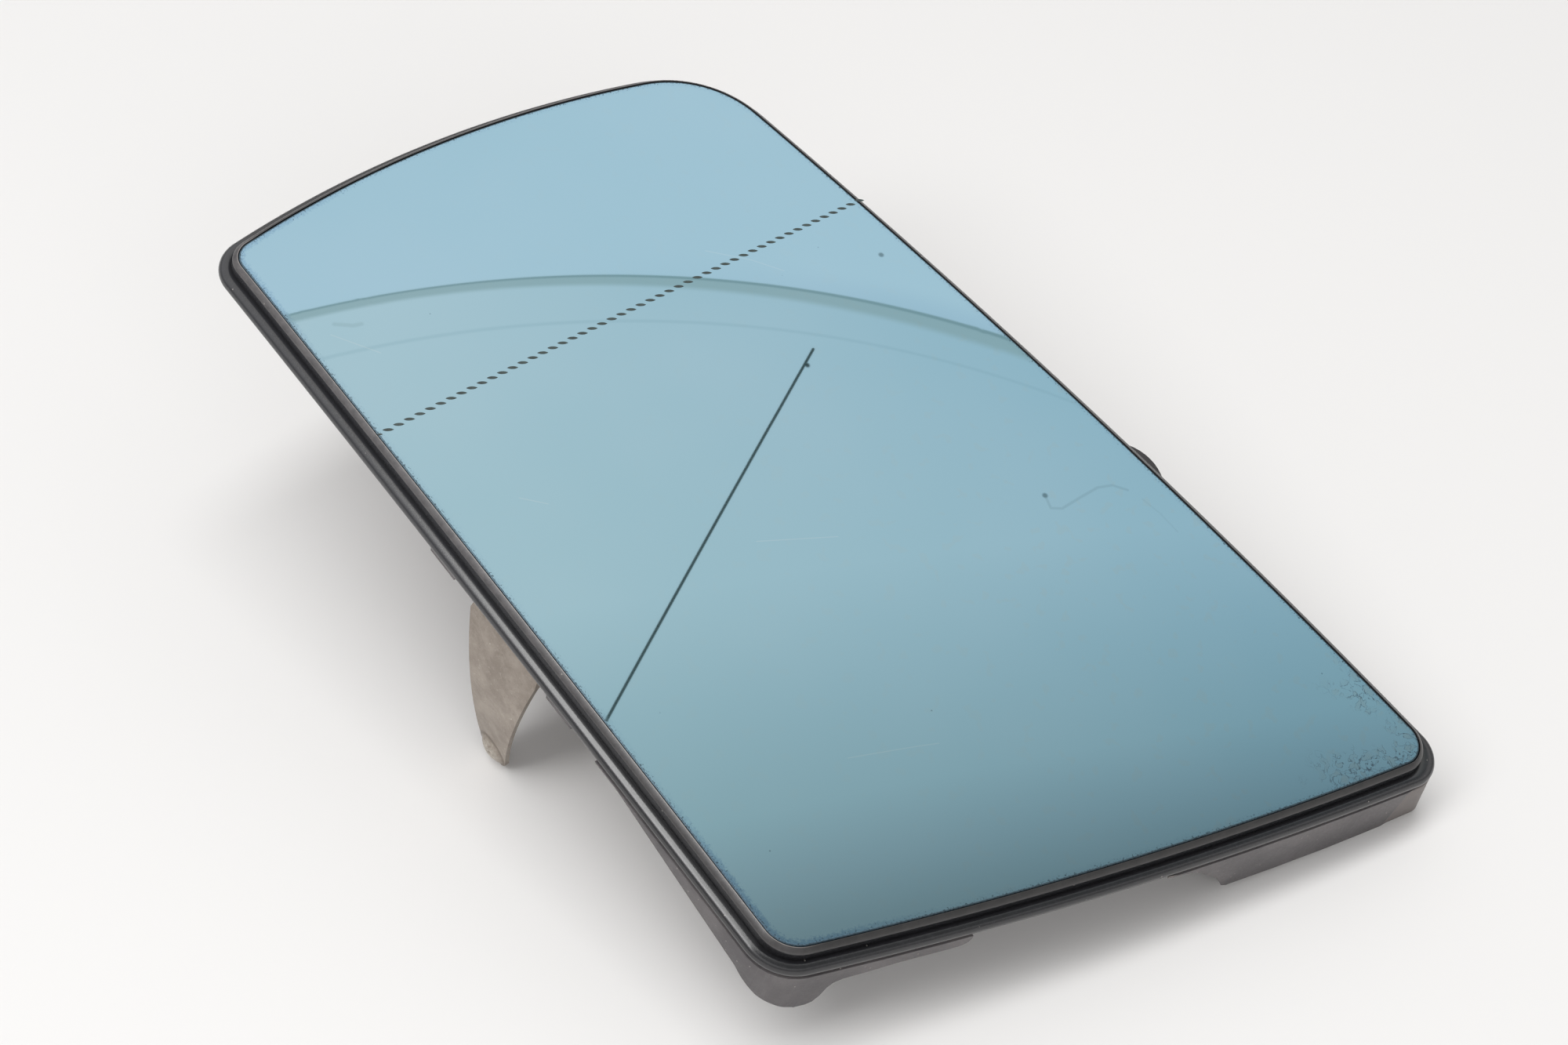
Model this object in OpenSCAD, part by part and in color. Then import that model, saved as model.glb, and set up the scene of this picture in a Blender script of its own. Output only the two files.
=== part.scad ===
// Car door mirror glass: convex pane in a moulded rim, on a carrier with a sprung steel bracket.
// The right door's pane is drawn in its own plane, X from the inner end to the outer end, Y from
// the lower edge to the upper edge and Z out of the front face. The left door's is its mirror
// image. The whole then leans back as it rests, on both bracket tips and on the foot at the
// inner upper corner.

/* [Door] */
// Door that the mirror belongs to
door = "left"; // [left, right]

/* [Outline of the glass] */
// Length of the lower edge between its corner points
lower_edge = 158.4; // [135:0.1:180]
// How far the outer lower corner lies below the inner one
outer_drop = 1.6; // [0:0.1:5]
// Height of the outer end between its corner points
outer_height = 101.4; // [90:0.2:112]
// How far the outer upper corner stands back from the lower one
outer_lean = 6.7; // [0:0.1:16]
// Height of the inner upper corner point over the lower edge
inner_height = 122.5; // [112:0.5:134]
// How far the inner end leans out to its upper corner
inner_lean = 32.9; // [20:0.1:42]
// Bow of the lower edge
lower_bow = 0.25; // [0.1:0.05:2]
// Bow of the outer end
outer_bow = 6.1; // [3:0.1:8]
// Bow of the upper edge
upper_bow = 1.4; // [0.4:0.1:3]
// Bow of the inner end
inner_bow = 2.6; // [1:0.1:4]
// Corner radius, inner lower
inner_lower_r = 6.5; // [5:0.5:12]
// Corner radius, outer lower
outer_lower_r = 4; // [3.5:0.5:12]
// Corner radius, outer upper
outer_upper_r = 19.5; // [12:0.5:28]
// Corner radius, inner upper
inner_upper_r = 4.5; // [4:0.5:12]

/* [Glass, heater and pad] */
// Radius of the convex front face
face_r = 2000; // [1400:50:3000]
// Thickness of the pane
glass_t = 2; // [1.6:0.1:3]
// Thickness of the heater foil
foil_t = 0.35; // [0.2:0.05:0.6]
// Thickness of the foam bonding pad
pad_t = 0.8; // [0.5:0.1:1.5]
// How far foil and pad stay inside the edge of the pane
pad_inset = 1.5; // [0.8:0.1:4]
// Gap between the pane and the rim round it
glass_gap = 0.1; // [0.05:0.05:0.3]

/* [Rim] */
// Height of the lip over the pane's edge
lip_h = 0.05; // [0:0.05:0.3]
// Width of the lip
lip_w = 0.9; // [0.6:0.05:1]
// How far the lip falls from its inner edge to its outer one
lip_fall = 0.65; // [0.2:0.05:0.9]
// Depth of the groove between lip and bead, below the pane's front
groove_d = 2.8; // [2.2:0.1:3]
// Distance of the groove from the pane's edge
groove_x = 1.25; // [1.2:0.05:1.5]
// Radius of the bead
bead_r = 1.3; // [1.2:0.05:1.5]
// Distance of the bead's centre from the pane's edge
bead_x = 2; // [1.9:0.05:2.4]
// Depth of the bead's centre below the pane's front
bead_d = 3.85; // [3.7:0.05:4.3]
// Width of the seam between rim and carrier
seam_gap = 0.15; // [0.05:0.05:0.3]

/* [Carrier] */
// Thickness of the carrier plate
plate_t = 2; // [1.5:0.1:3]
// Thickness of the skirt
skirt_t = 2; // [1.4:0.1:2.6]
// How far the skirt stands outside the pane's edge
skirt_x = 3.3; // [3:0.1:4]
// How far the carrier's ledge stands outside the pane's edge where it has no skirt
ledge_x = 2.2; // [1.8:0.1:2.5]
// Depth of the foot at the inner upper corner, below the middle of the pane
foot_d = 21.7; // [19:0.1:24]
// Depth of the foot at the inner lower corner
low_foot_d = 19; // [17:0.5:21]
// Length of the skirt along the long sides, from the inner lower corner
skirt_reach = 44.5; // [41:0.5:46]
// Height of the stiffening ribs' lower edges below the middle of the pane
rib_d = 8; // [7.6:0.1:8.4]
// Thickness of the stiffening ribs
rib_t = 1.3; // [1:0.1:2]
// Width of the arms' gap in the lower and upper skirt
arm_gap = 25; // [23:0.5:30]
// Length of a lug beside that gap
lug_w = 8.5; // [5:0.5:10]
// Depth of the lugs below the middle of the pane
lug_d = 8.5; // [7.4:0.1:9]
// Radius of the round ear on the upper edge
ear_r = 8.7; // [7:0.1:10]
// How far the ear stands outside the pane's edge
ear_out = 5.6; // [5:0.1:6.5]
// Distance of the ear from the inner lower corner, along the pane
ear_x = 40.5; // [30:0.5:45]

/* [Spring bracket] */
// Thickness of the sheet
sheet_t = 0.9; // [0.7:0.1:1.2]
// Width of the web and of each arm at its root
web_w = 19; // [17:0.5:24]
// Distance of the bracket's middle line from the inner lower corner
bracket_x = 72.5; // [68:0.5:80]
// Depth of the web's face on the bosses, below the middle of the pane
web_d = 8.6; // [8.5:0.1:9.5]
// How far the arms' bulge stays inside the pane's edges
arm_inset = -2; // [-2.5:0.1:3]
// Inner radius of the bend between web and arm
bend_r = 2.5; // [1.5:0.1:4]
// Radius of the arms' outward bow
bow_r = 87; // [75:1:140]
// Depth of the arm tips' centres below the middle of the pane
tip_d = 44.4; // [38:0.2:48]
// Radius of the arm tips
tip_r = 3.8; // [3.6:0.1:6]
// How far the arm tips stand back towards the inner end
tip_back = 3.3; // [2:0.1:6]
// Radius of the ball that presses the pivot dimple
dimple_r = 5.2; // [4:0.1:6]
// How far the dimple stands out of the arm
dimple_h = 1.2; // [0.8:0.1:1.8]
// Radius of the hole in the middle of the web
web_hole_r = 9; // [6:0.5:11]
// Radius of the web's round middle
web_disc_r = 19; // [17:0.5:22]

/* [Fasteners and fittings] */
// Shank radius of the bracket's rivets
rivet_r = 1.6; // [1.2:0.1:2]
// Head radius of the bracket's rivets
rivet_head_r = 3; // [2.4:0.1:3.4]
// Head height of the bracket's rivets
rivet_head_h = 1.3; // [0.8:0.1:1.8]
// Distance of the outer rivets from the middle of the web
rivet_span = 36; // [28:0.5:42]
// Distance of the inner rivets from the middle of the web
rivet_near = 14; // [13:0.5:15]
// Radius of the ball that a rod socket holds
ball_r = 4.5; // [3.5:0.1:5]
// Radius of a rod socket's mouth
mouth_r = 4.1; // [3:0.1:4.4]
// Outer radius of a rod socket
socket_r = 6.8; // [6.2:0.1:8]
// Depth of a rod socket's mouth below the middle of the pane
socket_d = 16; // [14:0.5:20]
// Distance of the rod sockets from the bracket's middle line
socket_x = 36; // [34:0.5:40]
// Distance of each rod socket from the line between them
socket_y = 27; // [24:0.5:32]
// Width of a spade terminal
spade_w = 6.3; // [4.8:0.1:6.5]
// Thickness of a spade terminal
spade_t = 0.8; // [0.5:0.1:1]
// Depth of the spade terminals' ends below the middle of the pane
spade_d = 14; // [12:0.5:18]
// Distance between the two spade terminals
spade_gap = 14; // [12:0.5:18]

/* [Hidden] */

// Points per corner arc and per side of the outline
corner_n = 7;
side_n = 10;
// Steps of the convex face from its middle to its reach
face_n = 8;
face_reach = 130;
eps = 0.01;

// Outline: four bowed sides between corner points, joined by tangent corner arcs
corners = [[0, 0],
           [lower_edge, -outer_drop],
           [lower_edge - outer_lean, outer_height - outer_drop],
           [-inner_lean, inner_height]];
bows = [lower_bow, outer_bow, upper_bow, inner_bow];
radii = [inner_lower_r, outer_lower_r, outer_upper_r, inner_upper_r];
middle = (corners[0] + corners[1] + corners[2] + corners[3]) / 4;

function chord(i) = corners[(i + 1) % 4] - corners[i];
function side_r(i) = (pow(norm(chord(i)), 2) / 4 + pow(bows[i], 2)) / (2 * bows[i]);
function side_c(i) = corners[i] + chord(i) / 2
    + [-chord(i).y, chord(i).x] / norm(chord(i)) * (side_r(i) - bows[i]);
// Point where two circles meet, the one nearer to a given point
function meet(c1, r1, c2, r2, near) =
    let (d = norm(c2 - c1),
         a = (r1 * r1 - r2 * r2 + d * d) / (2 * d),
         h = sqrt(max(r1 * r1 - a * a, 0)),
         m = c1 + (c2 - c1) * a / d,
         w = [-(c2 - c1).y, (c2 - c1).x] / d)
    norm(m + w * h - near) < norm(m - w * h - near) ? m + w * h : m - w * h;
function corner_c(i) = meet(side_c((i + 3) % 4), side_r((i + 3) % 4) - radii[i],
                            side_c(i), side_r(i) - radii[i], corners[i]);
function angle_of(v) = atan2(v.y, v.x);
function ahead(a, b) = a + ((b - a + 540) % 360) - 180;
function arc_stations(c, r, v1, v2, from, to, n) =
    let (a = angle_of(v1), b = ahead(a, angle_of(v2)))
    [for (k = [from:to]) [c, r, a + (b - a) * k / n]];
// Each station is the centre, radius and angle of a point on the outline
stations = [for (i = [0:3])
    let (s0 = side_c((i + 3) % 4), s1 = side_c(i), c0 = corner_c(i), c1 = corner_c((i + 1) % 4))
    each concat(arc_stations(c0, radii[i], c0 - s0, c0 - s1, 0, corner_n, corner_n),
                arc_stations(s1, side_r(i), c0 - s1, c1 - s1, 1, side_n - 1, side_n))];
station_n = len(stations);
function at(s, off) = s[0] + (s[1] + off) * [cos(s[2]), sin(s[2])];
function outline(off) = [for (s = stations) at(s, off)];
// Height of the convex face over its tangent plane in the middle
function cap(p) = -pow(norm(p - middle), 2) / (2 * face_r);
// Height where a side crosses a given X, for the lower and the upper edge
function side_y(i, x) = let (c = side_c(i), r = side_r(i), h = sqrt(r * r - pow(x - c.x, 2)))
    i == 0 ? c.y - h : c.y + h;

// Depth of the rim's lower face, where the bead ends, and of the seam below it
bead_from = -46;
rim_low = bead_d - bead_r * sin(bead_from);
seam_d = rim_low + seam_gap;

// Depths of the stack below the pane's front
foil_top = glass_t;
pad_top = glass_t + foil_t;
plate_top = pad_top + pad_t;
plate_low = plate_top + plate_t;

// Bracket
arm_low_y = side_y(0, bracket_x) + arm_inset;
arm_up_y = side_y(2, bracket_x) - arm_inset;
web_y = (arm_low_y + arm_up_y) / 2;
arm_half = (arm_up_y - arm_low_y) / 2;
bend_out = bend_r + sheet_t;
// The bow is upright at half of its height, and meets the bend in a smooth line
bow_rise = (tip_d - web_d - bend_out) / 2;
bow_half = asin(bow_rise / bow_r);
bend_turn = 90 - bow_half;
bend_c = [-arm_half + bow_r - (bow_r - bend_out) * cos(bow_half), -web_d - bend_out];
bow_c = bend_c + (bow_r - bend_out) * [cos(bow_half), -sin(bow_half)];
tip_x = bracket_x - tip_back;

// Feet, and how the whole leans on its bracket tips and its inner upper foot
foot_x = corner_c(3).x - inner_upper_r - skirt_x;
lean_reach = norm([tip_x - foot_x, tip_d - foot_d]);
lean = atan2(tip_d - foot_d, tip_x - foot_x) + asin(tip_r / lean_reach);
function leaned(p) = [p.x * cos(lean) - p.z * sin(lean), p.y, p.x * sin(lean) + p.z * cos(lean)];
rim_pts = [for (s = stations, q = [[glass_gap, -lip_h], [bead_x + bead_r, bead_d]])
    let (p = at(s, q[0])) leaned([p.x, p.y, cap(p) - q[1]])];
rest_x = (min([for (p = rim_pts) p.x]) + max([for (p = rim_pts) p.x])) / 2;
rest_y = (min([for (p = rim_pts) p.y]) + max([for (p = rim_pts) p.y])) / 2;
rest_z = leaned([foot_x, 0, -foot_d]).z;

// Places the finished model as it rests, with its middle over the origin
module rest() {
    left = door == "left" ? 1 : 0;
    mirror([0, left, 0]) translate([-rest_x, -rest_y, -rest_z]) rotate([0, -lean, 0]) children();
}

// Points of the convex face's profile at a depth, from the middle outwards
function face_line(depth) = [for (k = [0:face_n])
    let (r = face_reach * k / face_n) [r, -r * r / (2 * face_r) - depth]];
// Everything between the convex face lowered by one depth and by another
module face_band(top, low) {
    line = face_line(low);
    translate(middle) rotate_extrude($fn = 24)
        polygon(concat(face_line(top), [for (k = [face_n:-1:0]) line[k]]));
}
// Everything under the convex face lowered by a depth, down to a level
module under_face(top, level) {
    translate(middle) rotate_extrude($fn = 24)
        polygon(concat(face_line(top), [[face_reach, -level], [0, -level]]));
}
// Plate that follows the convex face, from depth top to depth low, inside the outline
module face_plate(off, top, low) {
    intersection() {
        face_band(top, low);
        translate([0, 0, -low - 10]) linear_extrude(low + 10) polygon(outline(off));
    }
}

// Section swept round the outline. Each point is the distance out of the pane's edge and the depth
module edge_sweep(section) {
    m = len(section);
    n = station_n;
    pts = [for (s = stations, q = section)
        let (p = at(s, q[0])) [p.x, p.y, cap(p) - q[1]]];
    faces = [for (i = [0:n - 1], j = [0:m - 1])
        let (k = (i + 1) % n, l = (j + 1) % m, a = i * m + j, b = i * m + l, c = k * m + l, d = k * m + j)
        each [[a, b, c], [a, c, d]]];
    polyhedron(points = pts, faces = faces);
}

function arc(c, r, a, b, n) = [for (k = [0:n]) c + r * [cos(a + (b - a) * k / n), sin(a + (b - a) * k / n)]];
function bend_line(p, q, r, n) = [for (k = [0:n]) let (t = k / n)
    (1 - t) * (1 - t) * p + 2 * t * (1 - t) * q + t * t * r];

// Glass, heater and pad
module mirror_glass() color([0.55, 0.75, 0.8]) rest() face_plate(0, 0, glass_t);

// Opening in pad and carrier over the heater's terminals
window = [26, 26];
window_x = 44;
window_at = [bracket_x + window_x, web_y];
module window_cut() {
    translate([window_at.x - window.x / 2, window_at.y - window.y / 2, -30]) cube([window.x, window.y, 30]);
}

module heater_foil() color([0.75, 0.45, 0.2]) rest() face_plate(-pad_inset, foil_top, pad_top);

module foam_pad() color([0.2, 0.2, 0.22]) rest() difference() {
    face_plate(-pad_inset, pad_top, plate_top);
    window_cut();
}

// Rim: sloping lip round the pane, groove and rounded bead
bead_turn = 176;
bead_steps = 7;
lip_out = glass_gap + lip_w;
// Height of the lip's outer wall above the groove where it starts to turn into it
groove_turn = 0.3;
rim_section = concat(
    [[glass_gap, rim_low]],
    [for (k = [0:bead_steps]) let (a = bead_from + bead_turn * k / bead_steps)
        [bead_x + bead_r * cos(a), bead_d - bead_r * sin(a)]],
    [[groove_x, groove_d],
     [(lip_out + groove_x) / 2, groove_d - groove_turn],
     [lip_out, lip_fall - lip_h],
     [glass_gap, -lip_h]]);
module bezel_rim() color([0.08, 0.08, 0.09]) rest() edge_sweep(rim_section);

// Carrier
ledge_t = 1.4;
// Small step between the ledge and the walls that hang from it
wall_step = 0.05;
// Wall round the outline between two distances from the pane's edge, down to a level
module wall(from, to, top, level) {
    intersection() {
        under_face(top, level);
        translate([0, 0, -level]) linear_extrude(level) difference() {
            polygon(outline(to));
            polygon(outline(from));
        }
    }
}
// Flat flange under the rim, from inside the pane's edge outwards
ledge_in = 3;
module ledge() {
    intersection() {
        face_band(seam_d, seam_d + ledge_t);
        translate([0, 0, -seam_d - ledge_t - 10]) linear_extrude(seam_d + ledge_t + 10) difference() {
            polygon(outline(ledge_x));
            polygon(outline(-ledge_in));
        }
    }
}

// Depths of the skirt between the feet: at its straight slope's two ends and along the inner end
slope_d = 13;
slope_end_d = 6.3;
// How far before its end the skirt runs level
level_run = 5.5;
band_d = 10;
deep = foot_d + 5;
// What is cut away below a long side, from a rounded foot up a straight slope to the skirt's end
module long_cut(foot_at, root_at, foot_depth) {
    step = (foot_depth - slope_d) / 4;
    run = (root_at - foot_at) / 4;
    polygon([[foot_at, -deep],
             [foot_at, -foot_depth],
             [foot_at + run / 2, -foot_depth + step / 2],
             [foot_at + run * 2, -foot_depth + step * 2.2],
             [root_at, -slope_d],
             [skirt_reach - level_run, -slope_end_d],
             [skirt_reach, -slope_end_d],
             [skirt_reach, -deep]]);
}
// What is cut away below the inner end, along its chord from the lower corner
end_len = norm(chord(3));
module end_cut() {
    polygon(concat(
        [[-20, -deep],
         [-20, -low_foot_d],
         [6.2, -low_foot_d],
         [7.3, -low_foot_d + 0.6],
         [8.2, -low_foot_d + 2.6],
         [8.8, -band_d - 3.5],
         [9.6, -band_d - 2],
         [11, -band_d - 1.2],
         [21, -band_d],
         [31.2, -band_d + 0.1]],
        arc([31.2, -band_d + 2.1], 2, -90, 0, 4),
        [[33.2, 1],
         [70, 1],
         [70, -6.8],
         [76.7, -9],
         [82, -14.4],
         [83, -15.2],
         [86, -foot_d + 1.3],
         [87.4, -foot_d + 0.4],
         [end_len - 18, -foot_d],
         [end_len - 18, -deep]]));
}

// Where the foot at the inner upper corner ends along the upper edge
foot_end = 6 - inner_lean;
module skirt_cuts() {
    // lower long side
    rotate([90, 0, 0]) translate([0, 0, -3]) linear_extrude(17) long_cut(-4.7, 2.6, low_foot_d);
    // upper long side
    translate([0, inner_height, 0]) rotate([90, 0, 0]) translate([0, 0, -16]) linear_extrude(42)
        long_cut(foot_end, foot_end + 8, foot_d);
    // inner end, seen along the chord
    rotate([0, 0, angle_of(-chord(3))]) rotate([90, 0, 0]) translate([0, 0, -8]) linear_extrude(22)
        end_cut();
    // everything from the skirt's ends to the outer end
    translate([skirt_reach, -20, -deep]) cube([lower_edge, inner_height + 40, deep + 1]);
}

// Lugs under the ledge beside the arms' gap, on both long sides
lug_t = 1.5;
lug_draft = 0.8;
module lug_front(from) {
    polygon([[from, 0],
             [from + lug_w, 0],
             [from + lug_w - lug_draft, -lug_d],
             [from + lug_draft, -lug_d]]);
}
module lugs() {
    intersection() {
        wall(ledge_x - lug_t, ledge_x - wall_step, seam_d + ledge_t / 2, lug_d);
        translate([bracket_x, inner_height + 20, 0]) rotate([90, 0, 0])
            linear_extrude(inner_height + 40) {
                lug_front(-arm_gap / 2 - lug_w);
                lug_front(arm_gap / 2);
            }
    }
}

// Round ear on the upper edge, a shallow cup
ear_wall = 1.2;
ear_floor = 0.6;
module ear() {
    y = side_y(2, ear_x) + ear_out - ear_r;
    translate([ear_x, y, cap([ear_x, y + ear_r]) - seam_d - ledge_t]) difference() {
        cylinder(r = ear_r, h = ledge_t, $fn = 56);
        translate([0, 0, ear_floor]) cylinder(r = ear_r - ear_wall, h = ledge_t, $fn = 48);
    }
}

// The ribs start inside the plate and end before the plate's fall would bare their upper edges
rib_root = 0.25;
rib_reach = sqrt(2 * face_r * (plate_t - rib_root)) - 3;
module ribs() {
    rib_h = rib_d - plate_low + rib_root;
    intersection() {
        translate([middle.x, middle.y, -rib_d]) cylinder(r = rib_reach, h = rib_h, $fn = 60);
        translate([0, 0, -rib_d]) linear_extrude(rib_h) polygon(outline(-3));
        union() {
            for (y = [-socket_y, 0, socket_y]) {
                translate([-inner_lean, web_y + y - rib_t / 2, -rib_d])
                    cube([lower_edge + inner_lean, rib_t, rib_h]);
            }
            for (x = [-socket_x - 20, -socket_x, 31, 62]) {
                translate([bracket_x + x - rib_t / 2, -10, -rib_d])
                    cube([rib_t, inner_height + 10, rib_h]);
            }
        }
    }
}

rivet_at = [[0, -rivet_span], [0, rivet_span], [-rivet_near, 0], [rivet_near, 0]];
module at_rivets() {
    for (p = rivet_at) translate([bracket_x + p.x, web_y + p.y, 0]) children();
}
module at_socket(s) {
    translate([bracket_x - socket_x, web_y + s * socket_y, 0]) children();
}
boss_r = rivet_head_r + 1;
fit = 0.1;
socket_seat_r = socket_r + 1.8;
socket_seat_d = socket_d - 5;

module carrier() color([0.2, 0.19, 0.19]) rest() difference() {
    union() {
        face_plate(-fit, plate_top, plate_low);
        ledge();
        difference() {
            wall(skirt_x - skirt_t, skirt_x, seam_d + wall_step, foot_d);
            skirt_cuts();
        }
        ribs();
        at_rivets() translate([0, 0, -web_d]) cylinder(r = boss_r, h = web_d - plate_top - 1, $fn = 40);
        for (s = [-1, 1]) {
            at_socket(s) translate([0, 0, -socket_seat_d])
                cylinder(r = socket_seat_r, h = socket_seat_d - plate_top - 1, $fn = 48);
        }
        lugs();
        ear();
    }
    window_cut();
    at_rivets() translate([0, 0, -web_d - 1]) cylinder(r = rivet_r + fit, h = 3.6, $fn = 32);
    for (s = [-1, 1]) {
        at_socket(s) translate([0, 0, -socket_seat_d - 1]) cylinder(r = socket_r + fit, h = 6.5, $fn = 48);
    }
}

// Spring bracket: flat web with two bowed arms
bow_end = 180 + bow_half + 6;
bow_n = 13;
// Half of the bracket seen along X, with the middle of the web at 0
module half_profile() {
    polygon(concat(
        [[eps, -web_d]],
        arc(bend_c, bend_out, 90, 180 - bow_half, 6),
        arc(bow_c, bow_r, 180 - bow_half, bow_end, bow_n),
        arc(bow_c, bow_r - sheet_t, bow_end, 180 - bow_half, bow_n),
        arc(bend_c, bend_r, 180 - bow_half, 90, 6),
        [[eps, -web_d - sheet_t]]));
}
half_w = web_w / 2;
root_z = -web_d + 1;
waist_d = tip_d * 0.7;
module arm_front() {
    polygon(concat(
        [[half_w, root_z]],
        bend_line([half_w, -web_d - bend_out], [half_w - 6, -waist_d], [tip_r - tip_back, -tip_d], 8),
        arc([-tip_back, -tip_d], tip_r, 0, -180, 14),
        bend_line([-tip_back - tip_r, -tip_d], [-tip_back - tip_r - 1, -waist_d],
                  [-half_w, -web_d - bend_out], 8),
        [[-half_w, root_z]]));
}
module arm() {
    intersection() {
        translate([-half_w - 1, 0, 0]) rotate([90, 0, 90]) linear_extrude(web_w + 2) half_profile();
        translate([0, 1, 0]) rotate([90, 0, 0]) linear_extrude(arm_half + 6) arm_front();
    }
}
// Angle at the tip between the arm and the upright
tip_turn = asin((tip_d + bow_c.y) / bow_r);
dimple_at = bow_c + (bow_r + dimple_h - dimple_r) * [-cos(tip_turn), -sin(tip_turn)];
module dimple(r) {
    translate([-tip_back, dimple_at.x, dimple_at.y]) sphere(r = r, $fn = 24);
}
module outer_side() {
    // everything outside the inner face of the bowed arm
    translate([-tip_back - 10, -arm_half - 6, -tip_d - 10]) cube([20, 14, 20]);
}
module spring_bracket() color([0.6, 0.57, 0.53]) rest() translate([bracket_x, web_y, 0]) difference() {
    union() {
        for (s = [0, 1]) {
            mirror([0, s, 0]) {
                arm();
                difference() {
                    intersection() {
                        dimple(dimple_r);
                        outer_side();
                    }
                    translate([-tip_back - 12, bow_c.x, bow_c.y]) rotate([0, 90, 0])
                        cylinder(r = bow_r - sheet_t / 2, h = 24, $fn = 150);
                }
            }
        }
        translate([0, 0, -web_d - sheet_t]) cylinder(r = web_disc_r, h = sheet_t, $fn = 72);
    }
    translate([0, 0, -web_d - 3]) cylinder(r = web_hole_r, h = 6, $fn = 64);
    for (p = rivet_at) translate([p.x, p.y, -web_d - 3]) cylinder(r = rivet_r + fit, h = 6, $fn = 32);
    for (s = [0, 1]) mirror([0, s, 0]) dimple(dimple_r - sheet_t);
}

module bracket_rivets() color([0.7, 0.7, 0.7]) rest() at_rivets() {
    translate([0, 0, -web_d - sheet_t]) cylinder(r = rivet_r, h = sheet_t + 2.4, $fn = 24);
    translate([0, 0, -web_d - sheet_t - rivet_head_h])
        cylinder(r1 = rivet_head_r * 0.6, r2 = rivet_head_r, h = rivet_head_h, $fn = 28);
}

// Snap socket for the ball end of an adjuster rod, with four slots in its mouth
socket_h = 9.6;
slot_w = 1;
slot_h = 4.2;
ball_d = socket_d - ball_r * 0.42 - 2;
module rod_socket() {
    difference() {
        translate([0, 0, -socket_d]) cylinder(r = socket_r, h = socket_h, $fn = 40);
        translate([0, 0, -ball_d]) sphere(r = ball_r, $fn = 24);
        translate([0, 0, -socket_d - 1]) cylinder(r = mouth_r, h = socket_d + 1 - ball_d, $fn = 40);
        for (a = [0, 90]) {
            rotate([0, 0, a]) translate([-socket_r - 1, -slot_w / 2, -socket_d - 1])
                cube([socket_r * 2 + 2, slot_w, slot_h + 1]);
        }
    }
}
module rod_socket_lower() color([0.85, 0.83, 0.76]) rest() at_socket(-1) rod_socket();
module rod_socket_upper() color([0.85, 0.83, 0.76]) rest() at_socket(1) rod_socket();

// Spade terminals of the heater, each with its foot on the foil
foot_t = 0.5;
foot_len = 10;
foot_gap = 0.05;
hole_r = 0.8;
hole_up = 3;
terminal_top = cap(window_at) - pad_top - foot_gap;
module terminal(s) {
    translate([window_at.x - foot_len / 2, window_at.y + s * spade_gap / 2, 0]) {
        translate([0, -spade_w / 2, terminal_top - foot_t]) cube([foot_len, spade_w, foot_t]);
        difference() {
            translate([0, -spade_w / 2, -spade_d]) cube([spade_t, spade_w, spade_d + terminal_top]);
            translate([-1, 0, -spade_d + hole_up]) rotate([0, 90, 0])
                cylinder(r = hole_r, h = spade_t + 2, $fn = 24);
        }
    }
}
module terminal_lower() color([0.75, 0.68, 0.45]) rest() terminal(-1);
module terminal_upper() color([0.75, 0.68, 0.45]) rest() terminal(1);
tack_r = 1.7;
tack_h = 0.6;
tack_x = 1.5;
module terminal_rivets() color([0.7, 0.7, 0.7]) rest() {
    for (s = [-1, 1]) {
        translate([window_at.x + tack_x, window_at.y + s * spade_gap / 2, terminal_top - foot_t - tack_h])
            cylinder(r1 = tack_r * 0.7, r2 = tack_r, h = tack_h, $fn = 32);
    }
}

mirror_glass();
heater_foil();
foam_pad();
bezel_rim();
carrier();
spring_bracket();
bracket_rivets();
rod_socket_lower();
rod_socket_upper();
terminal_lower();
terminal_upper();
terminal_rivets();
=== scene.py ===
import math

import bmesh
import bpy
import numpy as np
from mathutils import Matrix, Vector
from mathutils.geometry import delaunay_2d_cdt


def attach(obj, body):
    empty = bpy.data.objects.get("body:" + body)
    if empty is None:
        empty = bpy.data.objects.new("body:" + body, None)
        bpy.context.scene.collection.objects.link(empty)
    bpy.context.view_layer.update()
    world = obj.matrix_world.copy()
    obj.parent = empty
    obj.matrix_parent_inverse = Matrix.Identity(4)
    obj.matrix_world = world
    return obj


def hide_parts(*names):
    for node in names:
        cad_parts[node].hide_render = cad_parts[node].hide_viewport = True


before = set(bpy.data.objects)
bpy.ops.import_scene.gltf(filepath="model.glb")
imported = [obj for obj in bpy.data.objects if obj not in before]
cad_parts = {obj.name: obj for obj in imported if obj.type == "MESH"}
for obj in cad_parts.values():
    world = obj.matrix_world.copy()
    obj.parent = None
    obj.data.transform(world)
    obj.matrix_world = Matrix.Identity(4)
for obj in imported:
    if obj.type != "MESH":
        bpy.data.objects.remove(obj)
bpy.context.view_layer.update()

# Sizes in millimetres, the same as in the part's source
CORNERS = np.array([[0.0, 0.0], [158.4, -1.6], [151.7, 99.8], [-32.9, 122.5]])
BOWS = [0.25, 6.1, 1.4, 2.6]
RADII = [6.5, 4.0, 19.5, 4.5]
FACE_R = 2000.0
GLASS_T = 2.0
GLASS_GAP = 0.1
LIP_H, LIP_W, LIP_FALL = 0.05, 0.9, 0.65
GROOVE_D, GROOVE_X = 2.8, 1.25
BEAD_R, BEAD_X, BEAD_D = 1.3, 2.0, 3.85
SEAM_GAP = 0.15
SKIRT_T, SKIRT_X = 2.0, 3.3
FOOT_D, LOW_FOOT_D = 21.7, 19.0
SKIRT_REACH = 44.5
BRACKET_X = 72.5
SHEET_T, WEB_W, WEB_D = 0.9, 19.0, 8.6
ARM_INSET, BEND_R, BOW_R = -2.0, 2.5, 87.0
TIP_D, TIP_R, TIP_BACK = 44.4, 3.8, 3.3
DIMPLE_R, DIMPLE_H = 5.2, 1.2
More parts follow.
